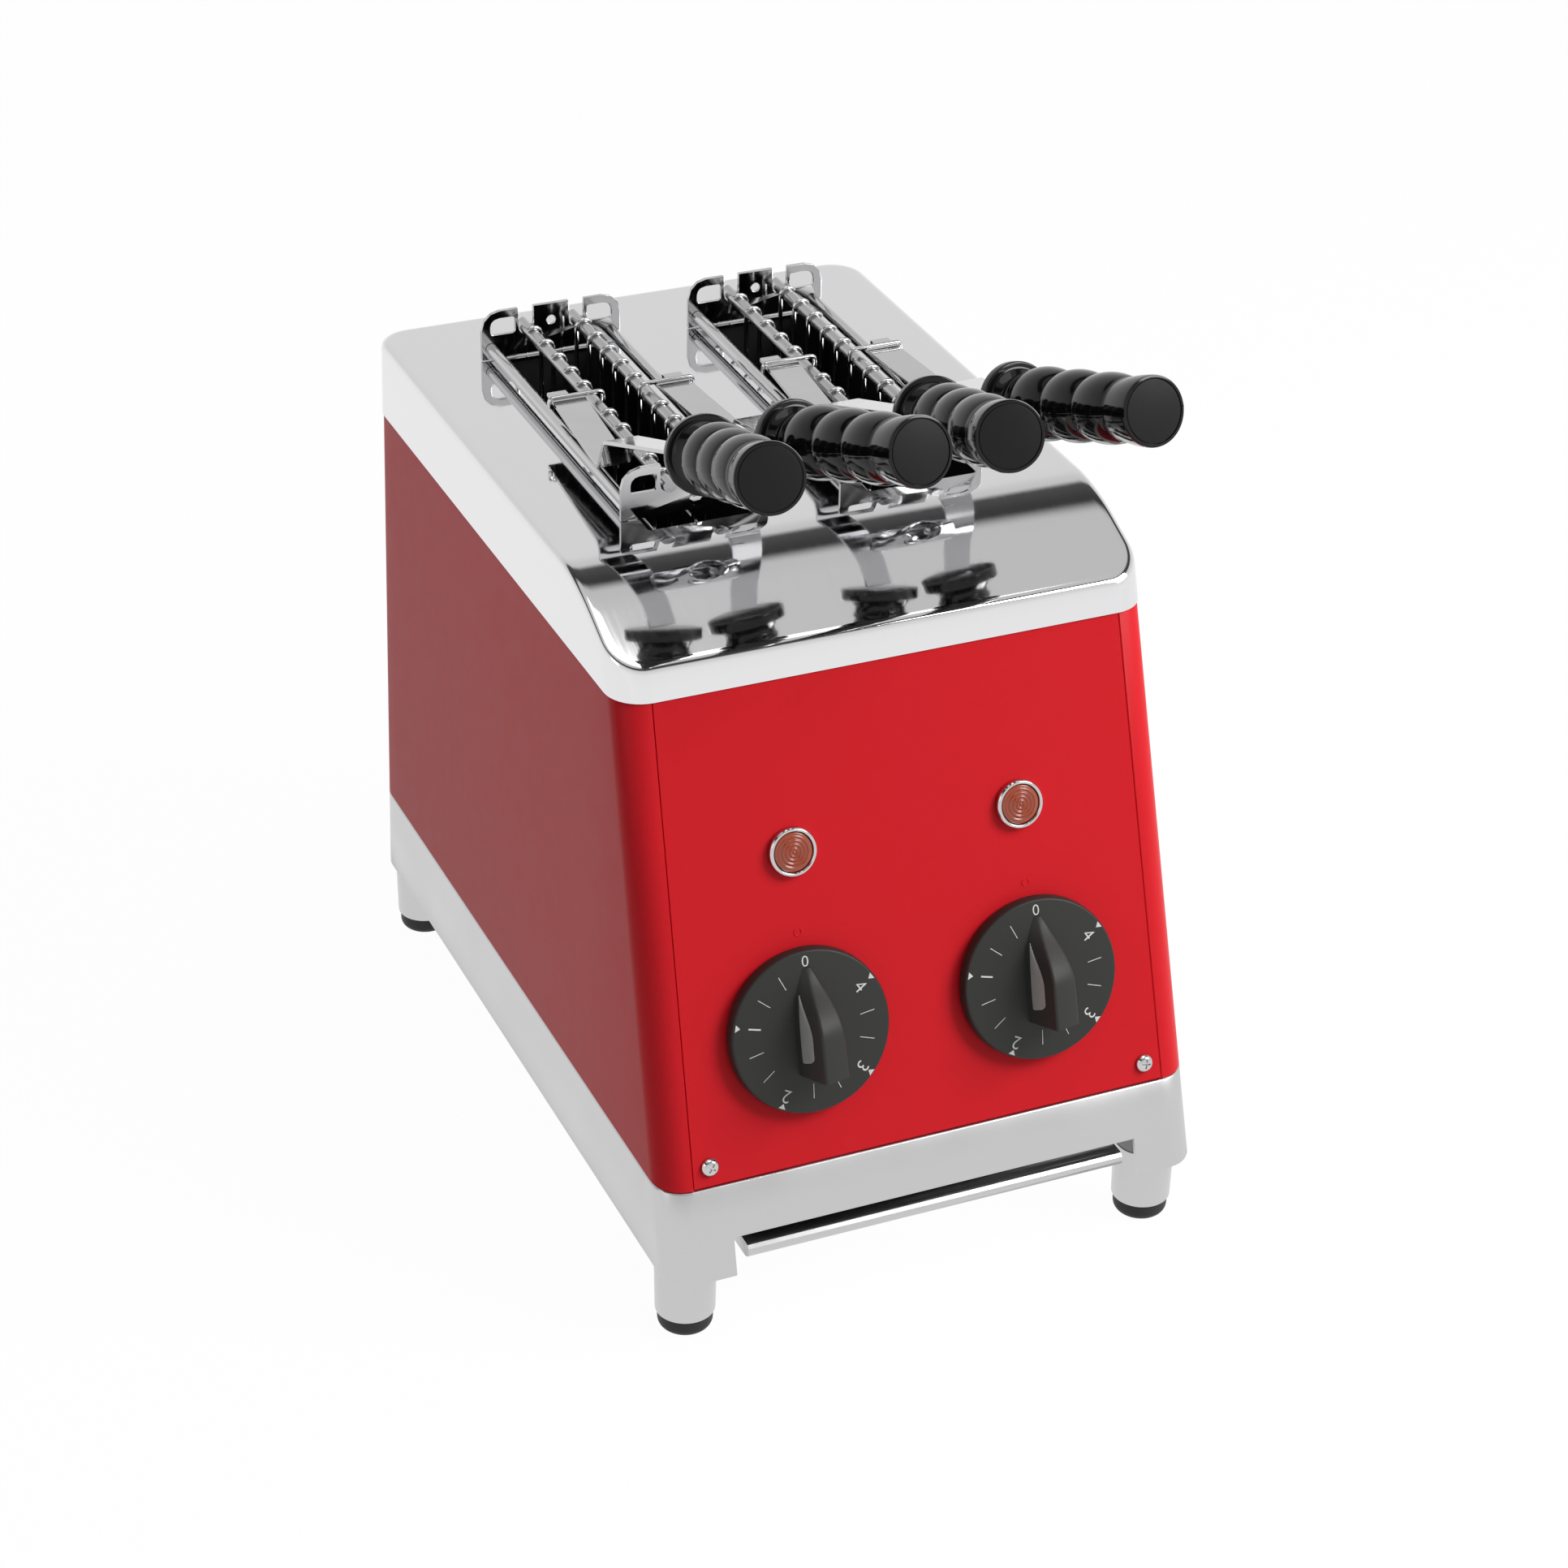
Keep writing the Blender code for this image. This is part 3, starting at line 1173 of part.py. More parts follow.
def build_bridge(unit, side, material):
    """The spring bridge under the two arms of a pair of tongs, with its hollow sleeve."""
    step, end = (Vector(corner) for corner in arm_spine(1)[2:])
    run, rise = step.y - end.y, end.z - step.z
    pitch = math.atan2(rise, run)
    across, along = BRIDGE_WIDTH / 2, BRIDGE_LENGTH / 2
    corners = [(-across, -along), (across, -along), (across, along), (-across, along)]
    outline = rounded(corners, [along / 2] * len(corners))
    bridge = add_part(f"spring_bridge_{unit}", plate_mesh([outline], BRIDGE_SHEET), material)
    spine_height = RAIL_HEIGHT + step.z + rise * BRIDGE_RUN / run
    under = (ARM_SHEET / 2 + CLEARANCE + BRIDGE_SHEET / 2) / math.cos(pitch)
    bridge.location = (side * SLOT_X, at_depth(ARM_STEP_DEPTH + BRIDGE_RUN), spine_height - under)
    bridge.rotation_euler = (-pitch, 0, 0)
    tube = cylinder_mesh(SLEEVE_RADIUS, -SLEEVE_LENGTH, 0)
    combine(bridge, add_part(f"sleeve_{unit}", tube, material, bridge), "UNION")
    bore = cylinder_mesh(SLEEVE_RADIUS - SLEEVE_WALL, -OVERRUN, -BRIDGE_SHEET / 2)
    combine(bridge, add_part(f"sleeve_bore_{unit}", bore, None, bridge))


def build_tongs(unit, unit_side, materials):
    """A pair of tongs: two jaws, each turning about its own rail, and the bridge between them."""
    build_bridge(unit, unit_side, materials["chrome"])
    profile = handle_profile()
    for jaw, side in SIDES.items():
        name = f"{unit}_{jaw}"
        axis = add_empty(f"jaw_axis_{name}", (unit_side * SLOT_X + side * RAIL_X, 0, RAIL_HEIGHT))
        build_grid(name, side, axis, materials["chrome"])
        build_arm(name, side, axis, materials["chrome"])
        handle = add_turned(f"handle_{name}", profile, materials["handle"], axis)
        handle.matrix_local = handle_matrix(side)


def build_toaster():
    materials = {
        "chrome": add_material("chrome", (0.78, 0.78, 0.79), 0.12, 1.0),
        "steel": add_material("polished_steel", (0.74, 0.74, 0.75), 0.10, 1.0),
        "satin": add_material("satin_grey", (0.60, 0.60, 0.61), 0.38, 0.8),
        "red": add_material("red_paint", (0.75, 0.025, 0.035), 0.35),
        "black": add_material("black_steel", (0.012, 0.012, 0.013), 0.55, 0.6),
        "heater": add_material("quartz", (0.30, 0.28, 0.26), 0.40),
        "rubber": add_material("rubber", (0.015, 0.015, 0.015), 0.75),
        "knob": add_material("knob_plastic", (0.045, 0.044, 0.041), 0.50),
        "insert": add_material("insert_grey", (0.35, 0.36, 0.34), 0.45),
        "amber": add_material("amber_lens", (0.80, 0.33, 0.02), 0.15),
        "handle": add_material("handle_gloss", (0.012, 0.012, 0.013), 0.10),
        "timer": add_material("timer_case", (0.55, 0.52, 0.45), 0.60),
    }
    build_base(materials["satin"])
    build_tray(materials["satin"])
    build_legs(materials["satin"], materials["rubber"])
    build_gland(materials["rubber"])
    build_wrap(materials["red"])
    build_panel(materials["red"])
    build_panel_screws(materials["chrome"])
    build_cover(materials["steel"])
    build_chambers(materials["black"])
    build_heaters(materials["heater"])
    for name, side in SIDES.items():
        build_timer(name, side, materials)
        build_lamp(name, side, materials)
        build_brackets(name, side, materials)
        build_tongs(name, side, materials)


for old in list(bpy.data.objects):
    bpy.data.objects.remove(old)
bpy.context.scene.collection.children.link(part_collection)
bpy.context.scene.collection.children.link(cutter_collection)
panel_plane = add_empty(
    "panel_plane", (0, at_depth(BODY_DEPTH), HOUSING_FOOT), (math.pi / 2 - LEAN, 0, 0)
)
build_toaster()
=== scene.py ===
"""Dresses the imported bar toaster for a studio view, as a Blender add-on that is run as a script.

The solids of the frame keep their places. Finer surfaces, worked out with numpy, stand in for the
ones that show, every piece gets a node material, and the floor, lights and camera are set up.
Lengths are metres. Depths are measured forward from the housing's back plane, so y is
CENTRE_DEPTH less the depth. Places on the front panel are (across, up the panel, out of it).
"""

import math

import bmesh
import bpy
import numpy as np
from bpy.props import FloatProperty, FloatVectorProperty, IntProperty, PointerProperty
from mathutils import Matrix, Vector


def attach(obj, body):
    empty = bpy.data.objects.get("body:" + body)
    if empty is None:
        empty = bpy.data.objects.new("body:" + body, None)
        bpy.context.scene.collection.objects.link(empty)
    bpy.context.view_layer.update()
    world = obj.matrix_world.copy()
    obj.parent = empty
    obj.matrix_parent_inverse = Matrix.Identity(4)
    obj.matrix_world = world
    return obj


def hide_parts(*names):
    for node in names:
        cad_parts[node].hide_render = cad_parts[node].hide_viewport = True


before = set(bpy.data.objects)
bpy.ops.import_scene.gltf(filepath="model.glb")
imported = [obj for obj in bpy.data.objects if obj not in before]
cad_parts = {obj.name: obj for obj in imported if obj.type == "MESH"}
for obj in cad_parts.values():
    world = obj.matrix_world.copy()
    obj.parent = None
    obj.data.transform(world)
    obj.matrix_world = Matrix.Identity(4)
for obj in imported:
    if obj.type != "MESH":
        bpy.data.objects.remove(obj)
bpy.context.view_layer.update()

bl_info = {
    "name": "Bar Toaster Dresser",
    "version": (1, 0, 0),
    "blender": (4, 5, 0),
    "location": "3D View > Sidebar > Toaster",
    "description": "Builds the visible pieces, finishes and studio of a two-slot bar toaster",
    "category": "Object",
}

SIDES = {"left": -1, "right": 1}

# The body
CENTRE_DEPTH = 0.163287
BODY_HALF = 0.1075
BODY_DEPTH = 0.319
BASE_BOTTOM = 0.0305
HOUSING_FOOT = 0.065
COVER_EDGE = 0.2405
COVER_TOP = 0.2705
COVER_PROUD = 0.0008
COVER_SHEET = 0.0012
FRONT_LEAN = 0.288
SIDE_LEAN = 0.022
LEAN = math.atan(FRONT_LEAN)
PANEL_EDGE = 0.0119
SHEET = 0.0015
GAP = 0.0003
NOTCH_HALF = 0.082
NOTCH_TOP = 0.0447
LEG_X = 0.0948
LEG_DEPTHS = {"front": 0.3099, "back": 0.0138}

# Slots, rails, grids and what stands by them
SLOT_X = 0.0435
SLOT_HALF = 0.022
SLOT_DEPTHS = (0.043, 0.2005)
RAIL_X = 0.0105
RAIL_HEIGHT = 0.2825
RAIL_DEPTHS = (0.037, 0.1925)
GRID_DROP = 0.150
CROSS_DROP = 0.028
CROSS_DEPTHS = (0.0465, 0.1875)
CROSS_RADIUS = 0.0008
WIRE_DEPTH = 0.0495
WIRE_PITCH = 0.0135
CLIP_WIRE = 5
TUBE_X = 0.025
TUBE_RISE = 0.0049
TUBE_RADIUS = 0.00235
TUBE_DEPTHS = (0.04155, 0.18895)

# Places on the front panel, as (across, up), and the dials on it
PANEL = Matrix.Translation((0, CENTRE_DEPTH - BODY_DEPTH, HOUSING_FOOT)) @ Matrix.Rotation(
    math.pi / 2 - LEAN, 4, "X"
)
KNOB_PLACE = (0.0461, 0.0524)
LAMP_PLACE = (0.045, 0.119)
INDEX_PLACE = (0.0455, 0.0886)
SCREW_PLACE = (0.0882, 0.0084)
GRIP_TIP = 0.0258
GRIP_LENGTH = 0.0411
DIGIT_TURN = 2 * math.pi * 0.21
DIGIT_RADII = (0.0266, 0.0222, 0.0250, 0.0250, 0.0238)
LENS_RADIUS = 0.0073

# Every finish, made once and kept by kind
made = {}


# Settings that a user would change


class HousingSettings(bpy.types.PropertyGroup):
    corner_radius: FloatProperty(
        name="Corner radius", description="Radius of the body's upright corners",
        default=0.012, min=0.004, unit="LENGTH",
    )
    edge_radius: FloatProperty(
        name="Cover edge", description="Rounding between the cover's top and its sides",
        default=0.0028, min=0.001, unit="LENGTH",
    )
    bend_start: FloatProperty(
        name="Bend start", description="Depth at which the cover's top starts to roll down",
        default=0.208, unit="LENGTH",
    )
    bend_run: FloatProperty(
        name="Bend run", description="Length over which the roll reaches its full slope",
        default=0.032, unit="LENGTH",
    )
    bend_slope: FloatProperty(
        name="Bend slope", description="Drop of the cover's front for each metre forward",
        default=0.432, subtype="FACTOR",
    )
    red: FloatVectorProperty(
        name="Enamel", description="Colour of the panel and the housing",
        default=(0.76, 0.016, 0.025), subtype="COLOR",
    )
    polished: FloatVectorProperty(
        name="Polished steel", description="Colour of the cover's mirror finish",
        default=(0.78, 0.78, 0.79), subtype="COLOR",
    )
    satin: FloatVectorProperty(
        name="Satin grey", description="Colour of the base, the legs and the crumb tray",
        default=(0.57, 0.57, 0.575), subtype="COLOR",
    )


class DialSettings(bpy.types.PropertyGroup):
    face_height: FloatProperty(
        name="Disc height", description="Height of a knob's face above the panel",
        default=0.0058, unit="LENGTH",
    )
    digit_height: FloatProperty(
        name="Digit height", description="Height of the printed digits",
        default=0.0054, unit="LENGTH",
    )
    last_digit: IntProperty(
        name="Last digit", description="Highest number on a dial", default=4, min=1, max=9,
    )
    plastic: FloatVectorProperty(
        name="Knob", description="Colour of the knobs",
        default=(0.020, 0.020, 0.018), subtype="COLOR",
    )
    insert: FloatVectorProperty(
        name="Insert", description="Colour of the light insert in a grip",
        default=(0.46, 0.47, 0.45), subtype="COLOR",
    )
    amber: FloatVectorProperty(
        name="Lamp", description="Colour of the lamps' lenses",
        default=(0.40, 0.055, 0.012), subtype="COLOR",
    )


class TongsSettings(bpy.types.PropertyGroup):
    rail_radius: FloatProperty(
        name="Rail radius", description="Radius of the rails", default=0.0025, unit="LENGTH",
    )
    wire_radius: FloatProperty(
        name="Wire radius", description="Radius of the hanging wires",
        default=0.0009, unit="LENGTH",
    )
    wire_count: IntProperty(
        name="Wires", description="Hanging wires on each grid", default=11, min=3, max=24,
    )
    handle_colour: FloatVectorProperty(
        name="Handles", description="Colour of the glossy handles",
        default=(0.006, 0.006, 0.0065), subtype="COLOR",
    )
    chrome: FloatVectorProperty(
        name="Chrome", description="Colour of the bright metal parts",
        default=(0.58, 0.58, 0.585), subtype="COLOR",
    )


class StudioSettings(bpy.types.PropertyGroup):
    lens: FloatProperty(
        name="Lens", description="Focal length on a 36 mm sensor", default=90.59, min=20,
    )
    key_power: FloatProperty(
        name="Key light", description="Power of the large front light, in watts", default=26.0,
    )
    ambient: FloatProperty(
        name="Ambient", description="Strength of the even light from all round", default=0.30,
    )


def settings():
    scene = bpy.context.scene
    return scene.toaster_housing, scene.toaster_dials, scene.toaster_tongs


# Finishes


def feed(tree, found, values=None, sources=None):
    """Sets a node's input values and links the outputs that feed its other inputs."""
    for key, value in (values or {}).items():
        found.inputs[key].default_value = value
    for key, output in (sources or {}).items():
        tree.links.new(output, found.inputs[key])
    return found


def node(tree, kind, values=None, sources=None, **options):
    """A new shader node with its options set, its values given and its inputs fed."""
    found = tree.nodes.new(f"ShaderNode{kind}")
    for option, value in options.items():
        setattr(found, option, value)
    return feed(tree, found, values, sources)


def blend(tree, share, low, high):
    """A colour between two, by a share."""
    found = node(
        tree, "Mix", {"A": (*low, 1), "B": (*high, 1)}, {"Factor": share}, data_type="RGBA"
    )
    return found.outputs["Result"]


def finish(
    name, colour, metallic=0.0, roughness=0.4, mottle=0.05, mottle_scale=18.0, stretch=(1, 1, 1),
    gloss_change=0.04, grain_scale=1400.0, grain_height=0.00002, coat=0.0, specular=0.5,
):
    """A material whose colour, gloss and fine relief all vary with noise on Object coordinates."""
    material = bpy.data.materials.new(name)
    material.use_nodes = True
    tree = material.node_tree
    place = {"Vector": node(tree, "TexCoord").outputs["Object"]}
    place = {"Vector": node(tree, "Mapping", {"Scale": stretch}, place).outputs["Vector"]}
    cloud = node(tree, "TexNoise", {"Scale": mottle_scale, "Detail": 5.0}, place).outputs["Fac"]
    tint = blend(
        tree, cloud, [c * (1 - mottle) for c in colour],
        [min(1, c * (1 + mottle)) for c in colour],
    )
    ends = {
        "From Min": 0.3, "From Max": 0.7,
        "To Min": max(0.01, roughness - gloss_change), "To Max": roughness + gloss_change,
    }
    gloss = node(tree, "MapRange", ends, {"Value": cloud})
    grain = node(tree, "TexNoise", {"Scale": grain_scale, "Detail": 3.0}, place)
    relief = node(
        tree, "Bump", {"Strength": 1.0, "Distance": grain_height}, {"Height": grain.outputs["Fac"]}
    )
    feed(
        tree, tree.nodes["Principled BSDF"],
        {"Metallic": metallic, "Coat Weight": coat, "Coat Roughness": 0.08,
         "Specular IOR Level": specular, "IOR": 1.5},
        {"Base Color": tint, "Roughness": gloss.outputs["Result"],
         "Normal": relief.outputs["Normal"]},
    )
    return material


def finishes():
    """Every finish of the toaster, made once and kept by kind."""
    if made:
        return made
    housing, dials, tongs = settings()
    made.update(
        enamel=finish(
            "red_enamel", housing.red, roughness=0.38, mottle=0.012, mottle_scale=120,
            grain_scale=1800, grain_height=0.00003, gloss_change=0.015, specular=0.12,
        ),
        polished=finish(
            "polished_cover", housing.polished, metallic=1.0, roughness=0.055, mottle=0.012,
            mottle_scale=6, stretch=(70, 2, 2), gloss_change=0.02, grain_scale=14,
            grain_height=0.000002,
        ),
        satin=finish(
            "satin_grey_paint", housing.satin, metallic=1.0, roughness=0.30, mottle=0.02,
            mottle_scale=25, grain_scale=2200, grain_height=0.000012,
        ),
        chrome=finish(
            "bright_chrome", tongs.chrome, metallic=1.0, roughness=0.09, mottle_scale=90,
            grain_scale=500, grain_height=0.000004,
        ),
        rail=finish(
            "drawn_rail_steel", (0.50, 0.50, 0.50), metallic=1.0, roughness=0.22, mottle=0.14,
            mottle_scale=40, stretch=(6, 0.7, 6), gloss_change=0.08, grain_scale=160,
            grain_height=0.00001,
        ),
        # Painted shade: the heat chambers are near black so the slots read dark inside, standing
        # in for the shade there.
        black=finish(
            "black_sheet_painted_shade", (0.012, 0.012, 0.012), metallic=0.2, roughness=0.6, mottle=0.3,
            mottle_scale=40, grain_scale=700, grain_height=0.00003,
        ),
        # Partly painted shade: the heater tubes are dark grey, kept darker than bare quartz for
        # the shade in the slots.
        quartz=finish(
            "quartz_tube", (0.10, 0.095, 0.09), roughness=0.35, mottle=0.15, mottle_scale=50,
            grain_scale=600,
        ),
        rubber=finish(
            "foot_rubber", (0.013, 0.013, 0.013), roughness=0.55, mottle=0.15, mottle_scale=80,
            grain_scale=1500, grain_height=0.00003, specular=0.4,
        ),
        knob=finish(
            "knob_plastic", dials.plastic, roughness=0.5, mottle=0.06, mottle_scale=50,
            grain_scale=2600, grain_height=0.00003, specular=0.4,
        ),
        insert=finish(
            "grip_insert", dials.insert, roughness=0.42, mottle=0.06, mottle_scale=300,
            grain_scale=2000,
        ),
        print=finish(
            "dial_print", (0.80, 0.80, 0.79), roughness=0.55, mottle=0.04, mottle_scale=400,
            grain_scale=3000, grain_height=0.00001,
        ),
        handle=finish(
            "handle_gloss", tongs.handle_colour, roughness=0.10, mottle=0.2, mottle_scale=30,
            gloss_change=0.02, grain_scale=260, grain_height=0.000006, specular=0.30,
        ),
        cap=finish(
            "handle_cap", (0.011, 0.011, 0.0112), roughness=0.42, mottle=0.12, mottle_scale=60,
            grain_scale=1500, specular=0.18,
        ),
        amber=finish(
            "amber_lens", dials.amber, roughness=0.16, mottle=0.18, mottle_scale=260,
            grain_scale=900, coat=0.5,
        ),
        timer=finish("timer_case", (0.55, 0.52, 0.45), roughness=0.55, mottle_scale=30),
    )
    return made


# Meshes from arrays


def surface(points, close_columns=True, close_rows=False):
    """A (rows, columns, 3) array as points and quads, joined across its ends where they close."""
    rows, columns = points.shape[:2]
    row, column = np.meshgrid(
        np.arange(rows if close_rows else rows - 1),
        np.arange(columns if close_columns else columns - 1), indexing="ij",
    )
    next_row, next_column = (row + 1) % rows, (column + 1) % columns
    corners = (
        row * columns + column, row * columns + next_column,
        next_row * columns + next_column, next_row * columns + column,
    )
    return points.reshape(-1, 3), np.stack(corners, -1).reshape(-1, 4)


def joined(*parts):
    """Several (points, faces) pairs as one."""
    starts = np.cumsum([0] + [len(points) for points, _ in parts[:-1]])
    points = np.concatenate([points for points, _ in parts])
    faces = np.concatenate([faces + start for (_, faces), start in zip(parts, starts)])
    return points, faces


def mesh_of(name, parts):
    """A mesh of (points, faces)."""
    points, faces = parts
    mesh = bpy.data.meshes.new(name)
    mesh.from_pydata(points.tolist(), [], faces.tolist())
    return mesh


def cleaned(mesh):
    """The mesh with doubled points merged and its faces turned outwards."""
    shape = bmesh.new()
    shape.from_mesh(mesh)
    bmesh.ops.remove_doubles(shape, verts=shape.verts, dist=2e-6)
    bmesh.ops.dissolve_degenerate(shape, edges=shape.edges, dist=1e-7)
    bmesh.ops.recalc_face_normals(shape, faces=shape.faces)
    shape.to_mesh(mesh)
    shape.free()
    return mesh


def linked(name, data):
    """A new object of the scene for a mesh, curve, light or camera."""
    found = bpy.data.objects.new(name, data)
    bpy.context.scene.collection.objects.link(found)
    return found


def final_mesh(found):
    """A new mesh of an object as its modifiers leave it."""
    bpy.context.view_layer.update()
    graph = bpy.context.evaluated_depsgraph_get()
    return bpy.data.meshes.new_from_object(found.evaluated_get(graph))


def dress(name, mesh, kind, body="housing", replaces=(), sharp=38.0):
    """Cleans a mesh, links it as an object with its finish and has it ride on its body."""
    cleaned(mesh)
    mesh.materials.clear()
    mesh.materials.append(finishes()[kind])
    mesh.shade_smooth()
    mesh.set_sharp_from_angle(angle=math.radians(sharp))
    found = linked(name, mesh)
    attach(found, body)
    if replaces:
        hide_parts(*replaces)
    return found


def piece(name, parts, kind, body="housing", replaces=(), sharp=38.0, place=None):
    """A finished object at the origin from (points, faces), which are moved to a place first."""
    points, faces = parts
    if place is not None:
        place = np.array(place)
        points = points @ place[:3, :3].T + place[:3, 3]
    return dress(name, mesh_of(name, (points, faces)), kind, body, replaces, sharp)


def eased_copy(solid, kind, body="housing", width=0.0003, sharp=30.0):
    """A merged copy of a solid, its edges eased where a width is given, in place of the solid."""
    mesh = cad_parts[solid].data.copy()
    found = dress(f"{solid}_skin", mesh, kind, body, [solid], sharp)
    if width:
        ease = found.modifiers.new("eased edges", "BEVEL")
        ease.width = width
        ease.segments = 2
        ease.limit_method = "ANGLE"
        ease.angle_limit = math.radians(sharp)
        ease.harden_normals = True


def cut(found, parts):
    """Cuts closed parts out of an object."""
    cutter = linked("cutter", cleaned(mesh_of("cutter", parts)))
    boolean = found.modifiers.new("cut", "BOOLEAN")
    boolean.object = cutter
    boolean.operation = "DIFFERENCE"
    boolean.solver = "EXACT"
    mesh = final_mesh(found)
    found.modifiers.clear()
    found.data = mesh
    bpy.data.objects.remove(cutter)
    mesh.set_sharp_from_angle(angle=math.radians(32))


def parabola(start, corner, end, share):
    """Points from start to end on the parabola that touches both sides of their corner."""
    return (1 - share) ** 2 * start + 2 * share * (1 - share) * corner + share**2 * end


def eased_corner(before, corner, after, radius, part, share):
    """A parabola in place of a corner, from the radius or 1/part of a side that is short."""
    back, on = before - corner, after - corner
    back_length = np.linalg.norm(back, axis=-1, keepdims=True)
    on_length = np.linalg.norm(on, axis=-1, keepdims=True)
    reach = np.minimum(np.minimum(radius, back_length / part), on_length / part)
    start, end = corner + back / back_length * reach, corner + on / on_length * reach
    return parabola(start, corner, end, share)


def bent(corners, radius, steps=6, part=2.0):
    """A path with each inner corner eased."""
    corners = np.array(corners, float)
    share = np.linspace(0, 1, steps + 1)[:, None]
    path = [corners[:1]]
    for before, corner, after in zip(corners, corners[1:], corners[2:]):
        path.append(eased_corner(before, corner, after, radius, part, share))
    path.append(corners[-1:])
    return np.concatenate(path)


def softened(profile, ease):
    """A profile to be turned, with a small rounding in place of each corner."""
    return bent(profile, ease, 3, 2.2)


def turned(profile, steps=64, ridge=None):
    """Radius and height pairs carried round the z axis; ridge adds to the radius by angle."""
    near_axis = 0.004
    profile = np.array(profile, float)
    angle = np.linspace(0, 2 * np.pi, steps, endpoint=False)
    radius = profile[:, 0, None] * np.ones(steps)
    if ridge is not None:
        radius = radius + ridge(angle) * (profile[:, 0, None] > near_axis)
    height = profile[:, 1, None] * np.ones(steps)
    return surface(np.stack((radius * np.cos(angle), radius * np.sin(angle), height), -1))


def capped(rings, first, last):
    """Rings of points as a closed surface, with each end drawn in to a point."""
    ends = [np.broadcast_to(point, rings[:1].shape) for point in (first, last)]
    return surface(np.concatenate((ends[0], rings, ends[1])))


def tube(path, radius, sides=16, flat=(0, 0, 1), groove=0.0):
    """A round wire: circles carried along a path, square to it, with both ends closed.

    flat is a direction that the path stays square to, or nearly. groove sinks a narrow seam
    along the side that faces across flat.
    """
    seam_angle, seam_width = np.pi * 0.38, 0.16
    path = np.array(path, float)
    ahead = np.gradient(path, axis=0)
    ahead /= np.linalg.norm(ahead, axis=1, keepdims=True)
    across = np.cross(ahead, np.array(flat, float))
    across /= np.linalg.norm(across, axis=1, keepdims=True)
    up = np.cross(across, ahead)
    angle = np.linspace(0, 2 * np.pi, sides, endpoint=False)
    out = radius * np.ones(sides) - groove * np.exp(-(((angle - seam_angle) / seam_width) ** 2))
    cosine, sine = np.cos(angle)[None, :, None], np.sin(angle)[None, :, None]
    rings = out[None, :, None] * (cosine * across[:, None] + sine * up[:, None])
    return capped(path[:, None] + rings, path[0], path[-1])


def slab(ring, bottom, top):
    """A closed solid between two heights on a ring of (x, y) points."""
    rings = np.array([np.column_stack((ring, np.full(len(ring), z))) for z in (bottom, top)])
    return capped(rings, rings[0].mean(0), rings[1].mean(0))


def block(low, high):
    """A closed box between two corners."""
    (left, near, bottom), (right, far, top) = low, high
    return slab(np.array([(left, near), (right, near), (right, far), (left, far)]), bottom, top)


def rounded_block(low, high, radius, steps=5):
    """A closed box whose four upright edges are rounded."""
    low, high = np.array(low, float), np.array(high, float)
    centre, half = (low + high)[:2] / 2, (high - low)[:2] / 2 - radius
    arcs = []
    for quarter, signs in enumerate(((1, 1), (-1, 1), (-1, -1), (1, -1))):
        angle = np.linspace(0, np.pi / 2, steps + 1) + quarter * np.pi / 2
        arc = radius * np.stack((np.cos(angle), np.sin(angle)), -1)
        arcs.append(centre + np.array(signs) * half + arc)
    return slab(np.concatenate(arcs), low[2], high[2])


# The body's outline


def half_width(height):
    return BODY_HALF + SIDE_LEAN * (HOUSING_FOOT - height)


def front_depth(height):
    return BODY_DEPTH + FRONT_LEAN * (HOUSING_FOOT - height)


def body_columns(front_shares, side_depths, lead=None, arc=10):
    """One row for each upright line round the body, from the front round the left to the back.

    A line's place is a sum: x = a*half width + b*corner radius + c, and depth = e*front + f*back
    + g*corner radius + h. The last two numbers are the direction inwards. The right half is the
    left one mirrored. lead starts the lines that far inside the left edge, not at the middle.
    """
    angle = np.linspace(0, np.pi / 2, arc + 1)
    sine, cosine = np.sin(angle), np.cos(angle)
    zero, one = np.zeros_like(angle), np.ones_like(angle)
    if lead is None:
        start = [(-s, s, 0, 1, 0, 0, 0, 0, -1) for s in front_shares]
    else:
        start = [(-1, 0, lead, 1, 0, 0, 0, 0, -1)]
    left = np.array([
        *start,
        *zip(-one, 1 - sine, zero, one, zero, cosine - 1, zero, sine, -cosine),
        *[(-1, 0, 0, 0, 0, 0, depth, 1, 0) for depth in side_depths],
        *zip(-one, 1 - cosine, zero, zero, one, 1 - sine, zero, cosine, sine),
        *[(-s, s, 0, 0, 1, 0, 0, 0, 1) for s in (0.75, 0.5, 0.25, 0.0)],
    ], float)
    right = left[:-1][::-1].copy()
    right[:, (0, 1, 2, 7)] *= -1
    if lead is None:
        right = right[:-1]
    return np.concatenate((left, right))


def body_points(columns, height, inset, corner):
    """Points of the body's wall on those lines, at a height each, inset from the outside."""
    height = np.broadcast_to(np.asarray(height, float), (len(columns),))
    half, front, back = half_width(height) - inset, front_depth(height) - inset, inset
    radius = max(corner - inset, 0.0005)
    a, b, c, e, f, g, h = columns.T[:7]
    across = a * half + b * radius + c
    depth = e * front + f * back + g * radius + h
    return np.stack((across, depth, height), -1)


def to_world(points):
    """(x, depth, height) to (x, y, z)."""
    return np.stack((points[..., 0], CENTRE_DEPTH - points[..., 1], points[..., 2]), -1)


def line_along(x, depths, height, steps):
    """Points on a straight line from back to front at one x and height."""
    return to_world(np.stack((
        np.full(steps, x), np.linspace(*depths, steps), np.full(steps, height)
    ), -1))


def cover_height(depth, inset=0.0):
    """Height of the cover's top: flat, then a parabola, then a straight slope that touches it."""
    housing = settings()[0]
    run = np.clip(depth - housing.bend_start, 0, None)
    bend = np.minimum(run, housing.bend_run)
    return COVER_TOP - inset - housing.bend_slope * (bend**2 / (2 * housing.bend_run) + run - bend)


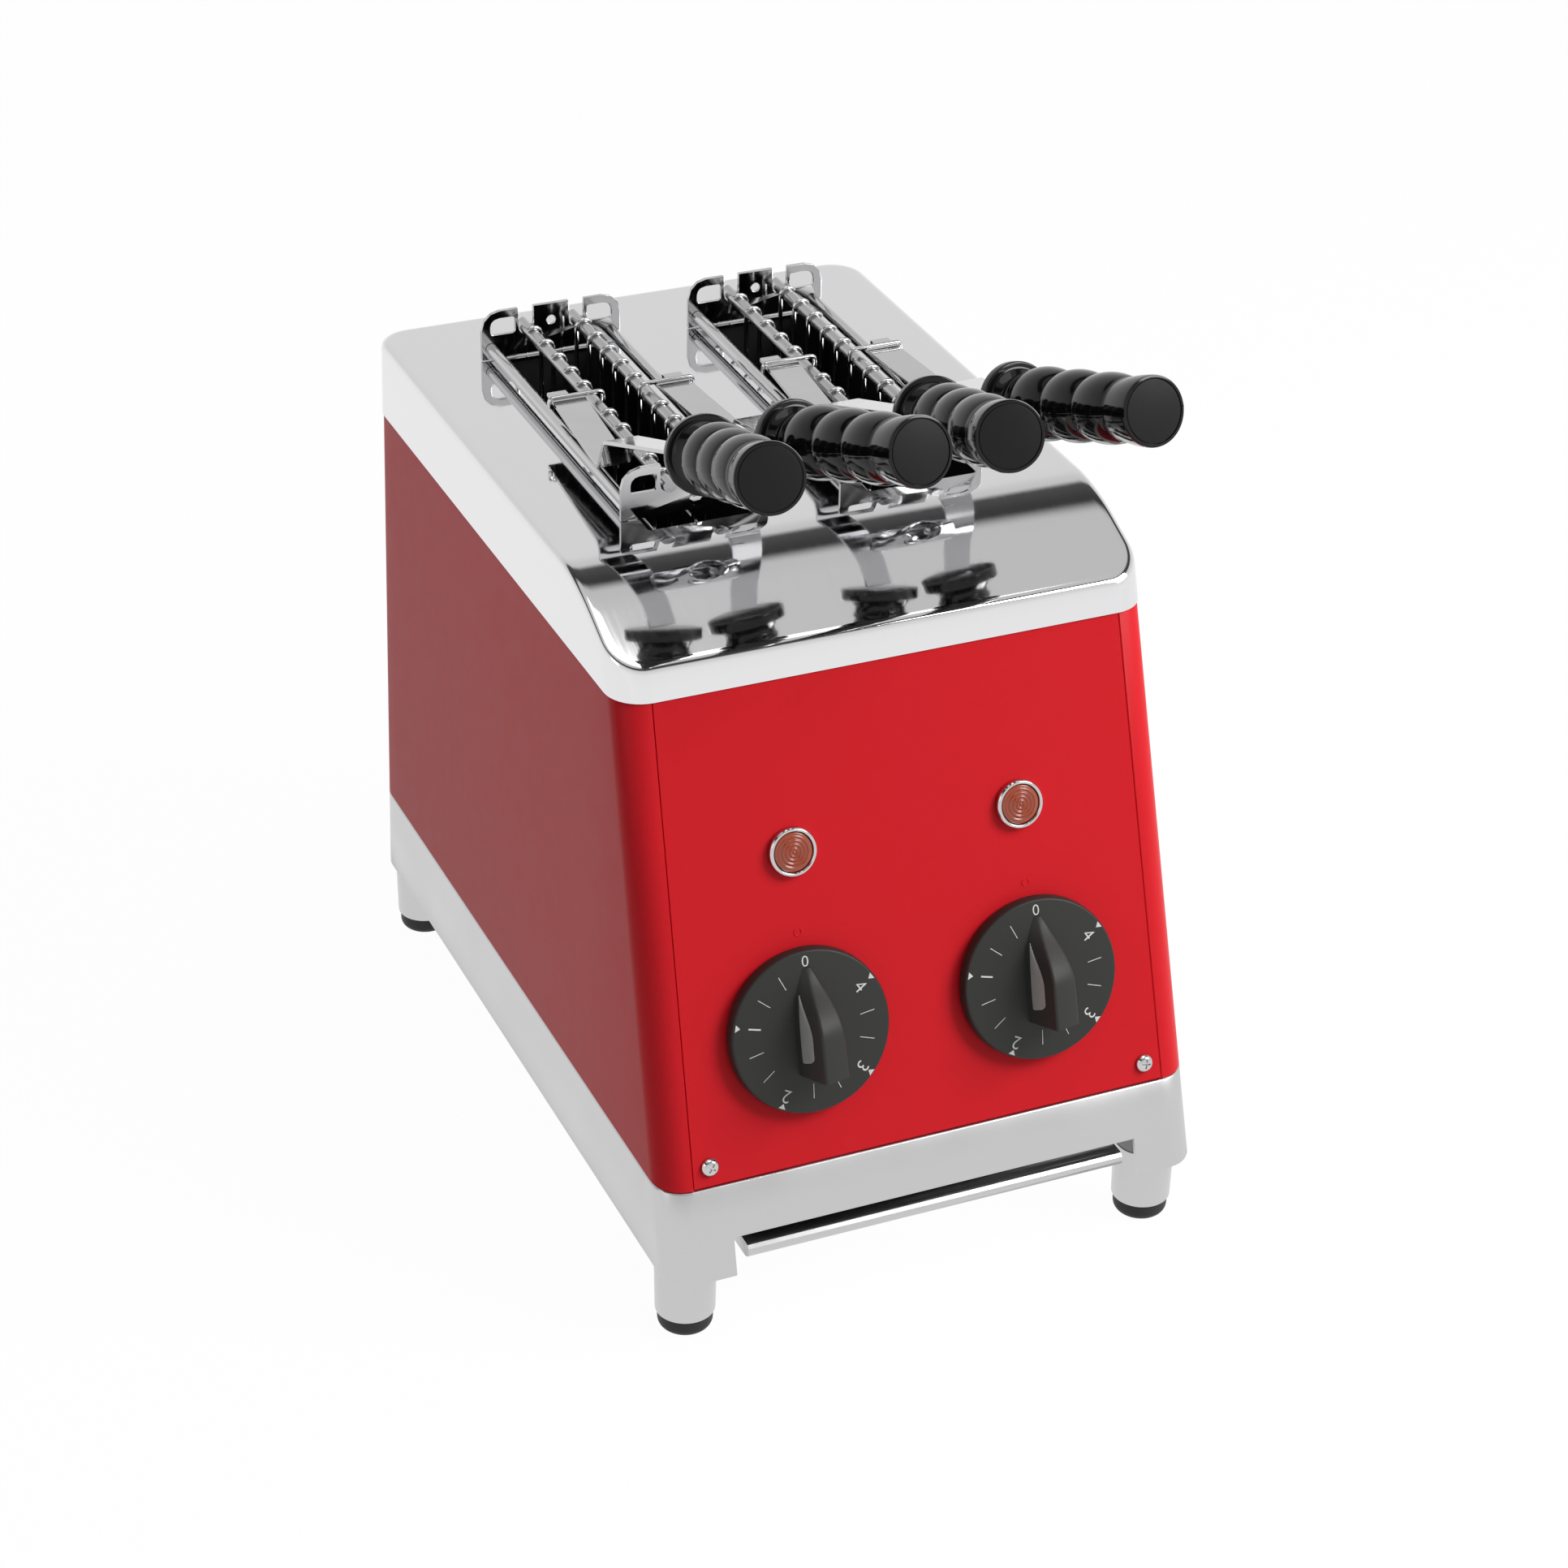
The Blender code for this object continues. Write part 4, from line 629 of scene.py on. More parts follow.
def cover_rows(columns, inset):
    """Rows up one skin of the cover: its wall, the eased edge, and the top in to a middle line."""
    housing = settings()[0]
    out, corner = inset - COVER_PROUD, housing.corner_radius + COVER_PROUD
    height = np.full(len(columns), COVER_TOP)
    for _ in range(12):
        edge = body_points(columns, height, out, corner)
        height = cover_height(edge[:, 1], inset)
    ease = max(housing.edge_radius - inset, 0.001)
    rows = [
        body_points(columns, COVER_EDGE + share * (height - ease - COVER_EDGE), out, corner)
        for share in (0, 0.5, 1)
    ]
    low, high = rows[-1], edge.copy()
    high[:, :2] += columns[:, 7:9] * ease
    high[:, 2] = cover_height(high[:, 1], inset)
    rows += [parabola(low, edge, high, share) for share in np.linspace(0, 1, 8)[1:]]
    middle = high.copy()
    middle[:, 0] = 0
    middle[:, 1] = np.clip(high[:, 1], 0.004, 0.2615)
    middle[:, 2] = cover_height(middle[:, 1], inset)
    rows += [high + (middle - high) * share for share in (0.02, 0.1, 0.3, 0.6, 1.0)]
    return rows


def on_panel(side, place, out=0):
    """A place on the front panel, on one side of its middle, with z pointing out of it."""
    return PANEL @ Matrix.Translation((side * place[0], place[1], out))


def jaws():
    """Name, body, side of the slot and side of the rail, for each jaw."""
    for unit, unit_side in SIDES.items():
        for jaw, side in SIDES.items():
            yield f"{unit}_{jaw}", f"jaw_{unit}_{jaw}", unit_side, side


# Operators


class Step:
    bl_options = {"REGISTER", "UNDO"}


class TOASTER_OT_cover(Step, bpy.types.Operator):
    """The polished cover: the body's outline carried up over an eased edge on to the rolled top"""

    bl_idname = "toaster.cover"
    bl_label = "Cover"

    def execute(self, context):
        depths = np.concatenate((np.linspace(0.244, 0.204, 21), np.linspace(0.19, 0.014, 14)))
        columns = body_columns(np.linspace(0, 0.96, 13), depths)
        rows = cover_rows(columns, 0.0)[::-1] + cover_rows(columns, COVER_SHEET)
        cover = piece(
            "cover_shell", surface(to_world(np.array(rows))), "polished",
            replaces=["top_cover"], sharp=32,
        )
        back, front = SLOT_DEPTHS
        past, corner = 0.01, 0.0015
        slots = [
            rounded_block(
                (side * SLOT_X - SLOT_HALF, CENTRE_DEPTH - front, COVER_TOP - past),
                (side * SLOT_X + SLOT_HALF, CENTRE_DEPTH - back, COVER_TOP + past), corner,
            )
            for side in SIDES.values()
        ]
        cut(cover, joined(*slots))
        return {"FINISHED"}


class TOASTER_OT_housing(Step, bpy.types.Operator):
    """The red housing: one sheet section carried round the sides and the back, and the panel"""

    bl_idname = "toaster.housing"
    bl_label = "Housing and panel"

    def execute(self, context):
        corner = settings()[0].corner_radius
        columns = body_columns((), np.linspace(0.24, 0.02, 12), lead=PANEL_EDGE, arc=12)
        foot, top, ease = HOUSING_FOOT + GAP, COVER_EDGE - GAP, 0.0003
        section = [
            (0, foot + ease), (0, (foot + top) / 2), (0, top - ease), (ease, top),
            (SHEET, top), (SHEET, foot), (ease, foot),
        ]
        rows = to_world(np.array([body_points(columns, z, inset, corner) for inset, z in section]))
        ends = [(rows[:, column], np.array([[0, 2, 3, 4], [0, 4, 5, 6]])) for column in (0, -1)]
        box_faces = np.array([
            [0, 1, 3, 2], [4, 6, 7, 5], [0, 4, 5, 1], [2, 3, 7, 6], [0, 2, 6, 4], [1, 5, 7, 3]
        ])
        flanges = []
        for side in SIDES.values():
            corners = [
                (side * (half_width(height) - across), front_depth(height) - back, height)
                for back in (0.0018, 0.0033)
                for height in (foot, top)
                for across in (PANEL_EDGE - 0.0004, PANEL_EDGE + 0.012)
            ]
            flanges.append((to_world(np.array(corners)), box_faces))
        skin = surface(rows, close_columns=False, close_rows=True)
        piece(
            "housing_skin", joined(skin, *ends, *flanges), "enamel", replaces=["housing_wrap"],
            sharp=40,
        )
        eased_copy("front_panel", "enamel", width=0.0, sharp=20.0)
        return {"FINISHED"}


class TOASTER_OT_base(Step, bpy.types.Operator):
    """The base skirt with its tray notch: a wall section carried round, its foot raised there"""

    bl_idname = "toaster.base"
    bl_label = "Base, tray and legs"

    def execute(self, context):
        corner = settings()[0].corner_radius
        notch = NOTCH_HALF / (half_width(BASE_BOTTOM) - corner)
        shares = np.concatenate((np.linspace(0, notch, 8), [notch + 1e-4], [0.985]))
        columns = body_columns(shares, np.linspace(0.29, 0.02, 12), arc=12)
        raised = (np.abs(columns[:, 0]) <= notch + 5e-5) & (columns[:, 3] == 1)
        raised &= (columns[:, 5] == 0) & (columns[:, 8] == -1)
        foot = np.where(raised, NOTCH_TOP, BASE_BOTTOM)
        ease, deck = 0.0008, 0.03
        section = [
            (SHEET, foot), (ease, foot), (ease * 0.3, foot + ease * 0.3), (0, foot + ease),
            (0, HOUSING_FOOT - 0.012), (0, HOUSING_FOOT - 0.0005), (0.0005, HOUSING_FOOT),
            (deck, HOUSING_FOOT), (deck, HOUSING_FOOT - SHEET), (SHEET, HOUSING_FOOT - SHEET),
        ]
        rows = to_world(np.array([body_points(columns, z, inset, corner) for inset, z in section]))
        piece(
            "base_shell", surface(rows, close_rows=True), "satin", replaces=["base_skirt"],
            sharp=40,
        )
        eased_copy("crumb_tray", "satin", "tray", 0.0)
        top, stud, pad_top = BASE_BOTTOM + 0.002, 0.02, 0.0072
        leg = softened(
            [(0, top + stud), (0.0045, top + stud), (0.0045, top), (0.01165, top),
             (0.01125, pad_top), (0, pad_top)], 0.0007,
        )
        pad = [(0, 0.0069), (0.0104, 0.0069)]
        pad += [
            (0.0075 + 0.0029 * math.cos(a), 0.00345 * (1 - math.sin(a)))
            for a in np.linspace(0, math.pi / 2, 9)
        ]
        pad.append((0, 0))
        for row, depth in LEG_DEPTHS.items():
            for name, side in SIDES.items():
                spot = f"{row}_{name}"
                place = Matrix.Translation((side * LEG_X, CENTRE_DEPTH - depth, 0))
                piece(
                    f"leg_turned_{spot}", turned(leg, 48), "satin", replaces=[f"leg_{spot}"],
                    place=place,
                )
                piece(
                    f"foot_dome_{spot}", turned(pad, 48), "rubber",
                    replaces=[f"foot_pad_{spot}"], place=place,
                )
        return {"FINISHED"}


def grip_section(share):
    """Foot, top and root corners of the grip's section at a share of its length, as (x, z)."""
    face = settings()[1].face_height
    ramp = (1 - np.cos(np.pi * np.minimum(1, share / 0.6))) / 2
    left_foot = 0.0004 + 0.0058 * (1 - (1 - share) ** 4)
    left_top = 0.0025 * ramp
    right_top = 0.0004 + 0.0075 * (1 - (1 - share) ** 3.5)
    left_height = face + 0.0006 + 0.0156 * ramp
    right_height = face + 0.0006 + 0.0125 * ramp
    return left_foot, left_top, right_top, left_height, right_height, face


def along_grip(share, section):
    """Sections (x, z) at shares of the grip's length, from its tip, as a closed surface."""
    up = np.broadcast_to((GRIP_TIP - share * GRIP_LENGTH)[:, None, None], section[..., :1].shape)
    rings = np.concatenate((section[..., :1], up, section[..., 1:]), -1)
    return capped(rings, rings[0].mean(0), rings[-1].mean(0))


def grip_surface():
    """The pointer grip: a four-sided section whose sides swell from the tip, with rounded tops."""
    tip = 0.035
    share = tip + (1 - tip) * np.linspace(0, 1, 28) ** 1.4
    left_foot, left_top, right_top, left_height, right_height, face = grip_section(share)
    root = np.full_like(share, face - 0.0004)
    corners = (
        (-left_foot - 0.0002, root), (-left_foot, root + 0.0004), (-left_top, left_height),
        (right_top, right_height), (right_top + 0.0006, root + 0.0004), (right_top + 0.0008, root),
    )
    corners = [np.stack(corner, -1) for corner in corners]
    ring = corners[:2]
    for three in zip(corners[1:3], corners[2:4], corners[3:5]):
        ring += [eased_corner(*three, 0.0011, 2.5, t) for t in np.linspace(0, 1, 5)]
    return along_grip(share, np.stack(ring + corners[4:], 1))


def insert_surface():
    """The light insert: a drop-shaped strip that lies on the grip's left flank."""
    along = np.linspace(0, 1, 30)
    share = 0.26 + along * 0.60
    left_foot, left_top, _, left_height, _, face = grip_section(share)
    foot = np.stack((-left_foot, np.full_like(share, face)), -1)
    flank = np.stack((-left_top, left_height), -1) - foot
    rounded_end = np.sqrt(np.clip(1 - ((along - 0.86) / 0.145).clip(0) ** 2, 0, 1))
    half = 0.225 * np.sin(np.pi / 2 * np.minimum(1, along * 1.6)) * rounded_end
    middle, edge = 0.19 + half, 0.002
    low = foot + flank * (middle - half - edge)[:, None]
    high = foot + flank * (middle + half + edge)[:, None]
    out = flank[:, ::-1] * np.array([-1, 1])
    out /= np.linalg.norm(out, axis=1, keepdims=True)
    sunk, side, proud = out * 0.0001, out * 0.0003, out * 0.0005
    ease = (high - low) * 0.15
    near = [low + sunk, low + side, low + ease + proud]
    far = [high - ease + proud, high + side, high + sunk]
    return along_grip(share, np.stack(near + far, 1))


def lettering(text, size, place):
    """A generic character as a thin raised mesh, its middle at the place's origin."""
    curve = bpy.data.curves.new("digit", "FONT")
    curve.body = text
    curve.size = size
    curve.extrude = 0.00003
    curve.resolution_u = 6
    curve.offset = -0.007 * size
    curve.align_x = "CENTER"
    curve.align_y = "CENTER"
    helper = linked("digit", curve)
    mesh = final_mesh(helper)
    bpy.data.objects.remove(helper)
    mesh.transform(place)
    return mesh


def flat_mark(corners, height, turn):
    """A thin printed polygon, as a closed slab turned about the dial's middle."""
    corners = np.array(corners, float)
    count = len(corners)
    heights = (height - 0.00002, height + 0.00003)
    points = [np.column_stack((corners, np.full(count, z))) for z in heights]
    mesh = bpy.data.meshes.new("mark")
    faces = [list(range(count)), [count + i for i in range(count)]]
    faces += [[i, (i + 1) % count, count + (i + 1) % count, count + i] for i in range(count)]
    mesh.from_pydata(np.concatenate(points).tolist(), [], faces)
    mesh.transform(Matrix.Rotation(turn, 4, "Z"))
    return mesh


def dial_print(dials):
    """One mesh of the dial's digits, with a triangle outside each but 0 and ticks in between."""
    top = dials.face_height + 0.00003
    half, low, high = 0.00013, 0.0195, 0.0252
    tick = [(-half, low), (half, low), (half, high), (-half, high)]
    triangle = [(-0.0014, 0.0300), (0.0014, 0.0300), (0, 0.0281)]
    shape = bmesh.new()
    for digit in range(dials.last_digit + 1):
        turn = DIGIT_TURN * digit
        radius = DIGIT_RADII[digit % len(DIGIT_RADII)]
        spot = Matrix.Rotation(turn, 4, "Z") @ Matrix.Translation((0, radius, top))
        size = dials.digit_height * (1.32 if digit else 1.1)
        shape.from_mesh(lettering(str(digit), size, spot))
        if digit:
            shape.from_mesh(flat_mark(triangle, top, turn))
        if digit < dials.last_digit:
            for share in (1 / 3, 2 / 3):
                shape.from_mesh(flat_mark(tick, top, turn + DIGIT_TURN * share))
    mesh = bpy.data.meshes.new("print")
    shape.to_mesh(mesh)
    shape.free()
    return mesh


class TOASTER_OT_knobs(Step, bpy.types.Operator):
    """The timer knobs: a turned disc, a swelling pointer grip, its light insert and the print"""

    bl_idname = "toaster.knobs"
    bl_label = "Timer knobs"

    def execute(self, context):
        dials = settings()[1]
        face = dials.face_height
        disc = softened(
            [(0, 0.001), (0.0312, 0.001), (0.0309, face - 0.0011), (0.0304, face), (0, face)],
            0.0006,
        )
        for name, side in SIDES.items():
            place, body = on_panel(side, KNOB_PLACE), f"knob_{name}"
            piece(
                f"knob_disc_{name}", joined(turned(disc, 128), grip_surface()), "knob", body,
                [f"timer_knob_{name}"], place=place,
            )
            piece(
                f"grip_insert_{name}", insert_surface(), "insert", body, [f"knob_insert_{name}"],
                place=place,
            )
            marks = dial_print(dials)
            marks.transform(place)
            dress(f"dial_print_{name}", marks, "print", body)
        return {"FINISHED"}


class TOASTER_OT_lamps(Step, bpy.types.Operator):
    """The lamps and the panel's screws, turned, with rings in the lenses and crosses cut in"""

    bl_idname = "toaster.lamps"
    bl_label = "Lamps and screws"

    def execute(self, context):
        bezel = softened(
            [(0.0076, 0.0024), (0.0079, 0.0029), (0.0087, 0.0029), (0.00925, 0.0021),
             (0.00925, 0.0003), (0.0083, 0.0003), (0.0083, -0.009), (0.0076, -0.009),
             (0.0076, 0.0024)], 0.0003,
        )
        radius = np.linspace(0, LENS_RADIUS, 60)
        rings = 0.00022 * np.cos(radius / LENS_RADIUS * 2 * np.pi * 5) * (radius < 0.0062)
        dome = 0.0021 + 0.0008 * np.sqrt(1 - (radius / LENS_RADIUS) ** 2) + rings
        lens = [*zip(radius, dome), (LENS_RADIUS, -0.0115), (0, -0.0115)]
        for name, side in SIDES.items():
            place = on_panel(side, LAMP_PLACE)
            piece(
                f"lamp_ring_{name}", turned(bezel), "chrome", replaces=[f"lamp_bezel_{name}"],
                place=place,
            )
            piece(
                f"lamp_glass_{name}", turned(lens), "amber", replaces=[f"lamp_lens_{name}"],
                place=place,
            )
        turn = np.linspace(math.radians(130), math.radians(410), 22)
        ring = np.stack((0.0014 * np.cos(turn), 0.0014 * np.sin(turn), 0 * turn), -1)
        for name, side in SIDES.items():
            piece(
                f"index_mark_{name}", tube(ring, 0.0002, 8), "enamel",
                place=on_panel(side, INDEX_PLACE, 0.00005),
            )
        head = softened(
            [(0, 0.0024), (0.0012, 0.0024), (0.0024, 0.0021), (0.0033, 0.0012), (0.0036, 0.0003),
             (0.0017, 0.0003), (0.0017, -0.0062), (0, -0.0062)], 0.0004,
        )
        for name, side in SIDES.items():
            found = piece(
                f"cross_screw_{name}", turned(head, 40), "chrome",
                replaces=[f"panel_screw_{name}"],
            )
            cut(found, block((-0.0018, -0.00035, 0.0013), (0.0018, 0.00035, 0.004)))
            cut(found, block((-0.00036, -0.0018, 0.00131), (0.00036, 0.0018, 0.00401)))
            place = on_panel(side, SCREW_PLACE)
            found.data.transform(place @ Matrix.Rotation(0.35 + side, 4, "Z"))
        return {"FINISHED"}


def wire_paths(side):
    """Paths of one grid's hanging wires about its rail: toe, drop and hook, one over the arm."""
    tongs = settings()[2]
    reach = tongs.rail_radius + tongs.wire_radius - 0.0003
    clear = tongs.wire_radius + GAP
    toe = bent([(-reach - 0.0052, -GRID_DROP), (-reach, -GRID_DROP), (-reach, 0)], 0.003)
    angle = np.linspace(np.pi, 0.18 * np.pi, 12)
    plain_hook = np.stack((reach * np.cos(angle), reach * np.sin(angle)), -1)
    paths = []
    for i in range(tongs.wire_count):
        depth = WIRE_DEPTH + i * WIRE_PITCH
        hook = plain_hook
        if i == CLIP_WIRE:
            over = 0.003 + 0.00075 + clear
            past = 0.010 + (depth + tongs.wire_radius - 0.109) / 0.0655 * 0.005 + 0.0065 + clear
            hook = bent([(-reach, 0), (-reach, over), (past, over), (past, 0.0012)], 0.0022)
        across, height = np.concatenate((toe[:-1], hook)).T
        paths.append(to_world(np.stack((side * across, np.full_like(across, depth), height), -1)))
    return paths


class TOASTER_OT_grids(Step, bpy.types.Operator):
    """The grids: rails, hanging wires and cross wires, each a circle carried along its path"""

    bl_idname = "toaster.grids"
    bl_label = "Grids and rails"

    def execute(self, context):
        tongs = settings()[2]
        gap = (GRID_DROP - CROSS_DROP) / 3
        for name, body, unit_side, side in jaws():
            place = Matrix.Translation((unit_side * SLOT_X + side * RAIL_X, 0, RAIL_HEIGHT))
            line = line_along(0, RAIL_DEPTHS, 0, 12)
            rail = tube(line, tongs.rail_radius, 28, groove=0.0002)
            piece(f"rail_{name}", rail, "rail", body, [f"jaw_grid_{name}"], place=place)
            wires = [tube(path, tongs.wire_radius, 10, (0, 1, 0)) for path in wire_paths(side)]
            out = side * (CROSS_RADIUS - tongs.rail_radius)
            for i in range(3):
                path = line_along(out, CROSS_DEPTHS, -CROSS_DROP - i * gap, 4)
                wires.append(tube(path, CROSS_RADIUS, 10))
            piece(f"wires_{name}", joined(*wires), "chrome", body, place=place)
        return {"FINISHED"}


def handle_place(unit_side, side):
    """Place of a handle: local z runs from the collar to the cap, local x across."""
    pitch, yaw = math.radians(20.0), math.radians(7.4)
    flat = Vector((side * math.sin(yaw), -math.cos(yaw), 0))
    along = (flat * math.cos(pitch) + Vector((0, 0, math.sin(pitch)))).normalized()
    across = Vector((1, 0, 0)) - along * along.x
    across.normalize()
    turn = Matrix((across, along.cross(across), along)).transposed().to_4x4()
    x = unit_side * SLOT_X + side * (RAIL_X + 0.006)
    return Matrix.Translation((x, CENTRE_DEPTH - 0.2395, 0.3173)) @ turn


def handle_profile():
    """Radius and height pairs: collar, ring, three bulges, flared neck and the cap's rim."""
    back, front = -0.0021, 0.0021
    collar = softened(
        [(0, back), (0.0144, back), (0.0144, front), (0.0118, front), (0.0094, front + 0.0028),
         (0.0094, 0.0068)], 0.0007,
    )
    ring = [
        (0.0099, 0.0073), (0.0102, 0.0080), (0.0099, 0.0087), (0.0095, 0.0092), (0.0097, 0.0101)
    ]
    share = np.linspace(0, 1, 61)[:-1]
    lobe = np.floor(share * 3)
    valley, crest = 0.0108, 0.0132 - 0.0003 * lobe
    radius = valley + (crest - valley) * np.sin(np.pi * (share * 3 - lobe)) ** 0.72
    bulges = list(zip(radius, 0.0115 + share * 0.0602))
    flare = np.linspace(0, 1, 9)
    neck = list(zip(valley + 0.0016 * np.sin(np.pi / 2 * flare), 0.0717 + flare * 0.0145))
    rim = [
        (0.0124, 0.0866), (0.01225, 0.0872), (0.0118, 0.0874), (0.0112, 0.0874),
        (0.0111, 0.0868), (0, 0.0868),
    ]
    return np.concatenate((collar, ring, bulges, neck, rim))


def parting_line(angle):
    """A fine ridge where the two halves of the mould meet, on both sides."""
    return 0.00013 * np.exp(-((np.abs(np.sin(angle)) / 0.022) ** 2))


class TOASTER_OT_handles(Step, bpy.types.Operator):
    """The handles: radius and height pairs with ringed bulges, turned, with a fine parting line"""

    bl_idname = "toaster.handles"
    bl_label = "Handles"

    def execute(self, context):
        profile = handle_profile()
        disc = softened([(0, 0.0866), (0.0109, 0.0866), (0.0109, 0.0873), (0, 0.0873)], 0.0002)
        for name, body, unit_side, side in jaws():
            place = handle_place(unit_side, side)
            piece(
                f"grip_{name}", turned(profile, 180, parting_line), "handle", body,
                [f"handle_{name}"], sharp=50, place=place,
            )
            piece(f"grip_cap_{name}", turned(disc), "cap", body, place=place)
        return {"FINISHED"}


class TOASTER_OT_metalwork(Step, bpy.types.Operator):
    """The brackets, side tubes, arms and spring bridges, with eased edges and closed tube ends"""

    bl_idname = "toaster.metalwork"
    bl_label = "Brackets, tubes and arms"

    def execute(self, context):
        for unit, unit_side in SIDES.items():
            eased_copy(f"bracket_front_{unit}", "chrome")
            eased_copy(f"bracket_back_{unit}", "chrome")
            eased_copy(f"bracket_rivet_{unit}", "chrome", width=0.0)
            eased_copy(f"spring_bridge_{unit}", "chrome", f"tongs_{unit}")
            for edge, edge_side in SIDES.items():
                name = f"{unit}_{edge}"
                eased_copy(f"arm_{name}", "chrome", f"jaw_{name}")
                x = unit_side * SLOT_X + edge_side * TUBE_X
                path = line_along(x, TUBE_DEPTHS, COVER_TOP + TUBE_RISE, 6)
                piece(
                    f"tube_{name}", tube(path, TUBE_RADIUS, 28), "chrome",
                    replaces=[f"side_tube_{name}"],
                )
        return {"FINISHED"}


class TOASTER_OT_inside(Step, bpy.types.Operator):
    """Finishes on the solids that stay as they are, most of them inside the housing"""

    bl_idname = "toaster.inside"
    bl_label = "Inner parts"

    def execute(self, context):
        # The heat chambers take the near-black painted shade of the slots, and the heaters a grey
        # darkened for that shade.
        kinds = {
            "heat_chamber": "black", "heater": "quartz", "timer_body": "timer",
            "timer_shaft": "chrome", "cable_gland": "rubber",
        }
        for name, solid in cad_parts.items():
            for start, kind in kinds.items():
                if name.startswith(start):
                    solid.data.materials.clear()
                    solid.data.materials.append(finishes()[kind])
        return {"FINISHED"}


def either(tree, first, second):
    """1 where either of two outputs is 1."""
    found = node(tree, "Math", sources={0: first, 1: second}, operation="MAXIMUM")
    return found.outputs[0]


def mixed(tree, share, low, high):
    """A mix of two shaders' first outputs by a share."""
    return node(tree, "MixShader", sources={0: share, 1: low.outputs[0], 2: high.outputs[0]})


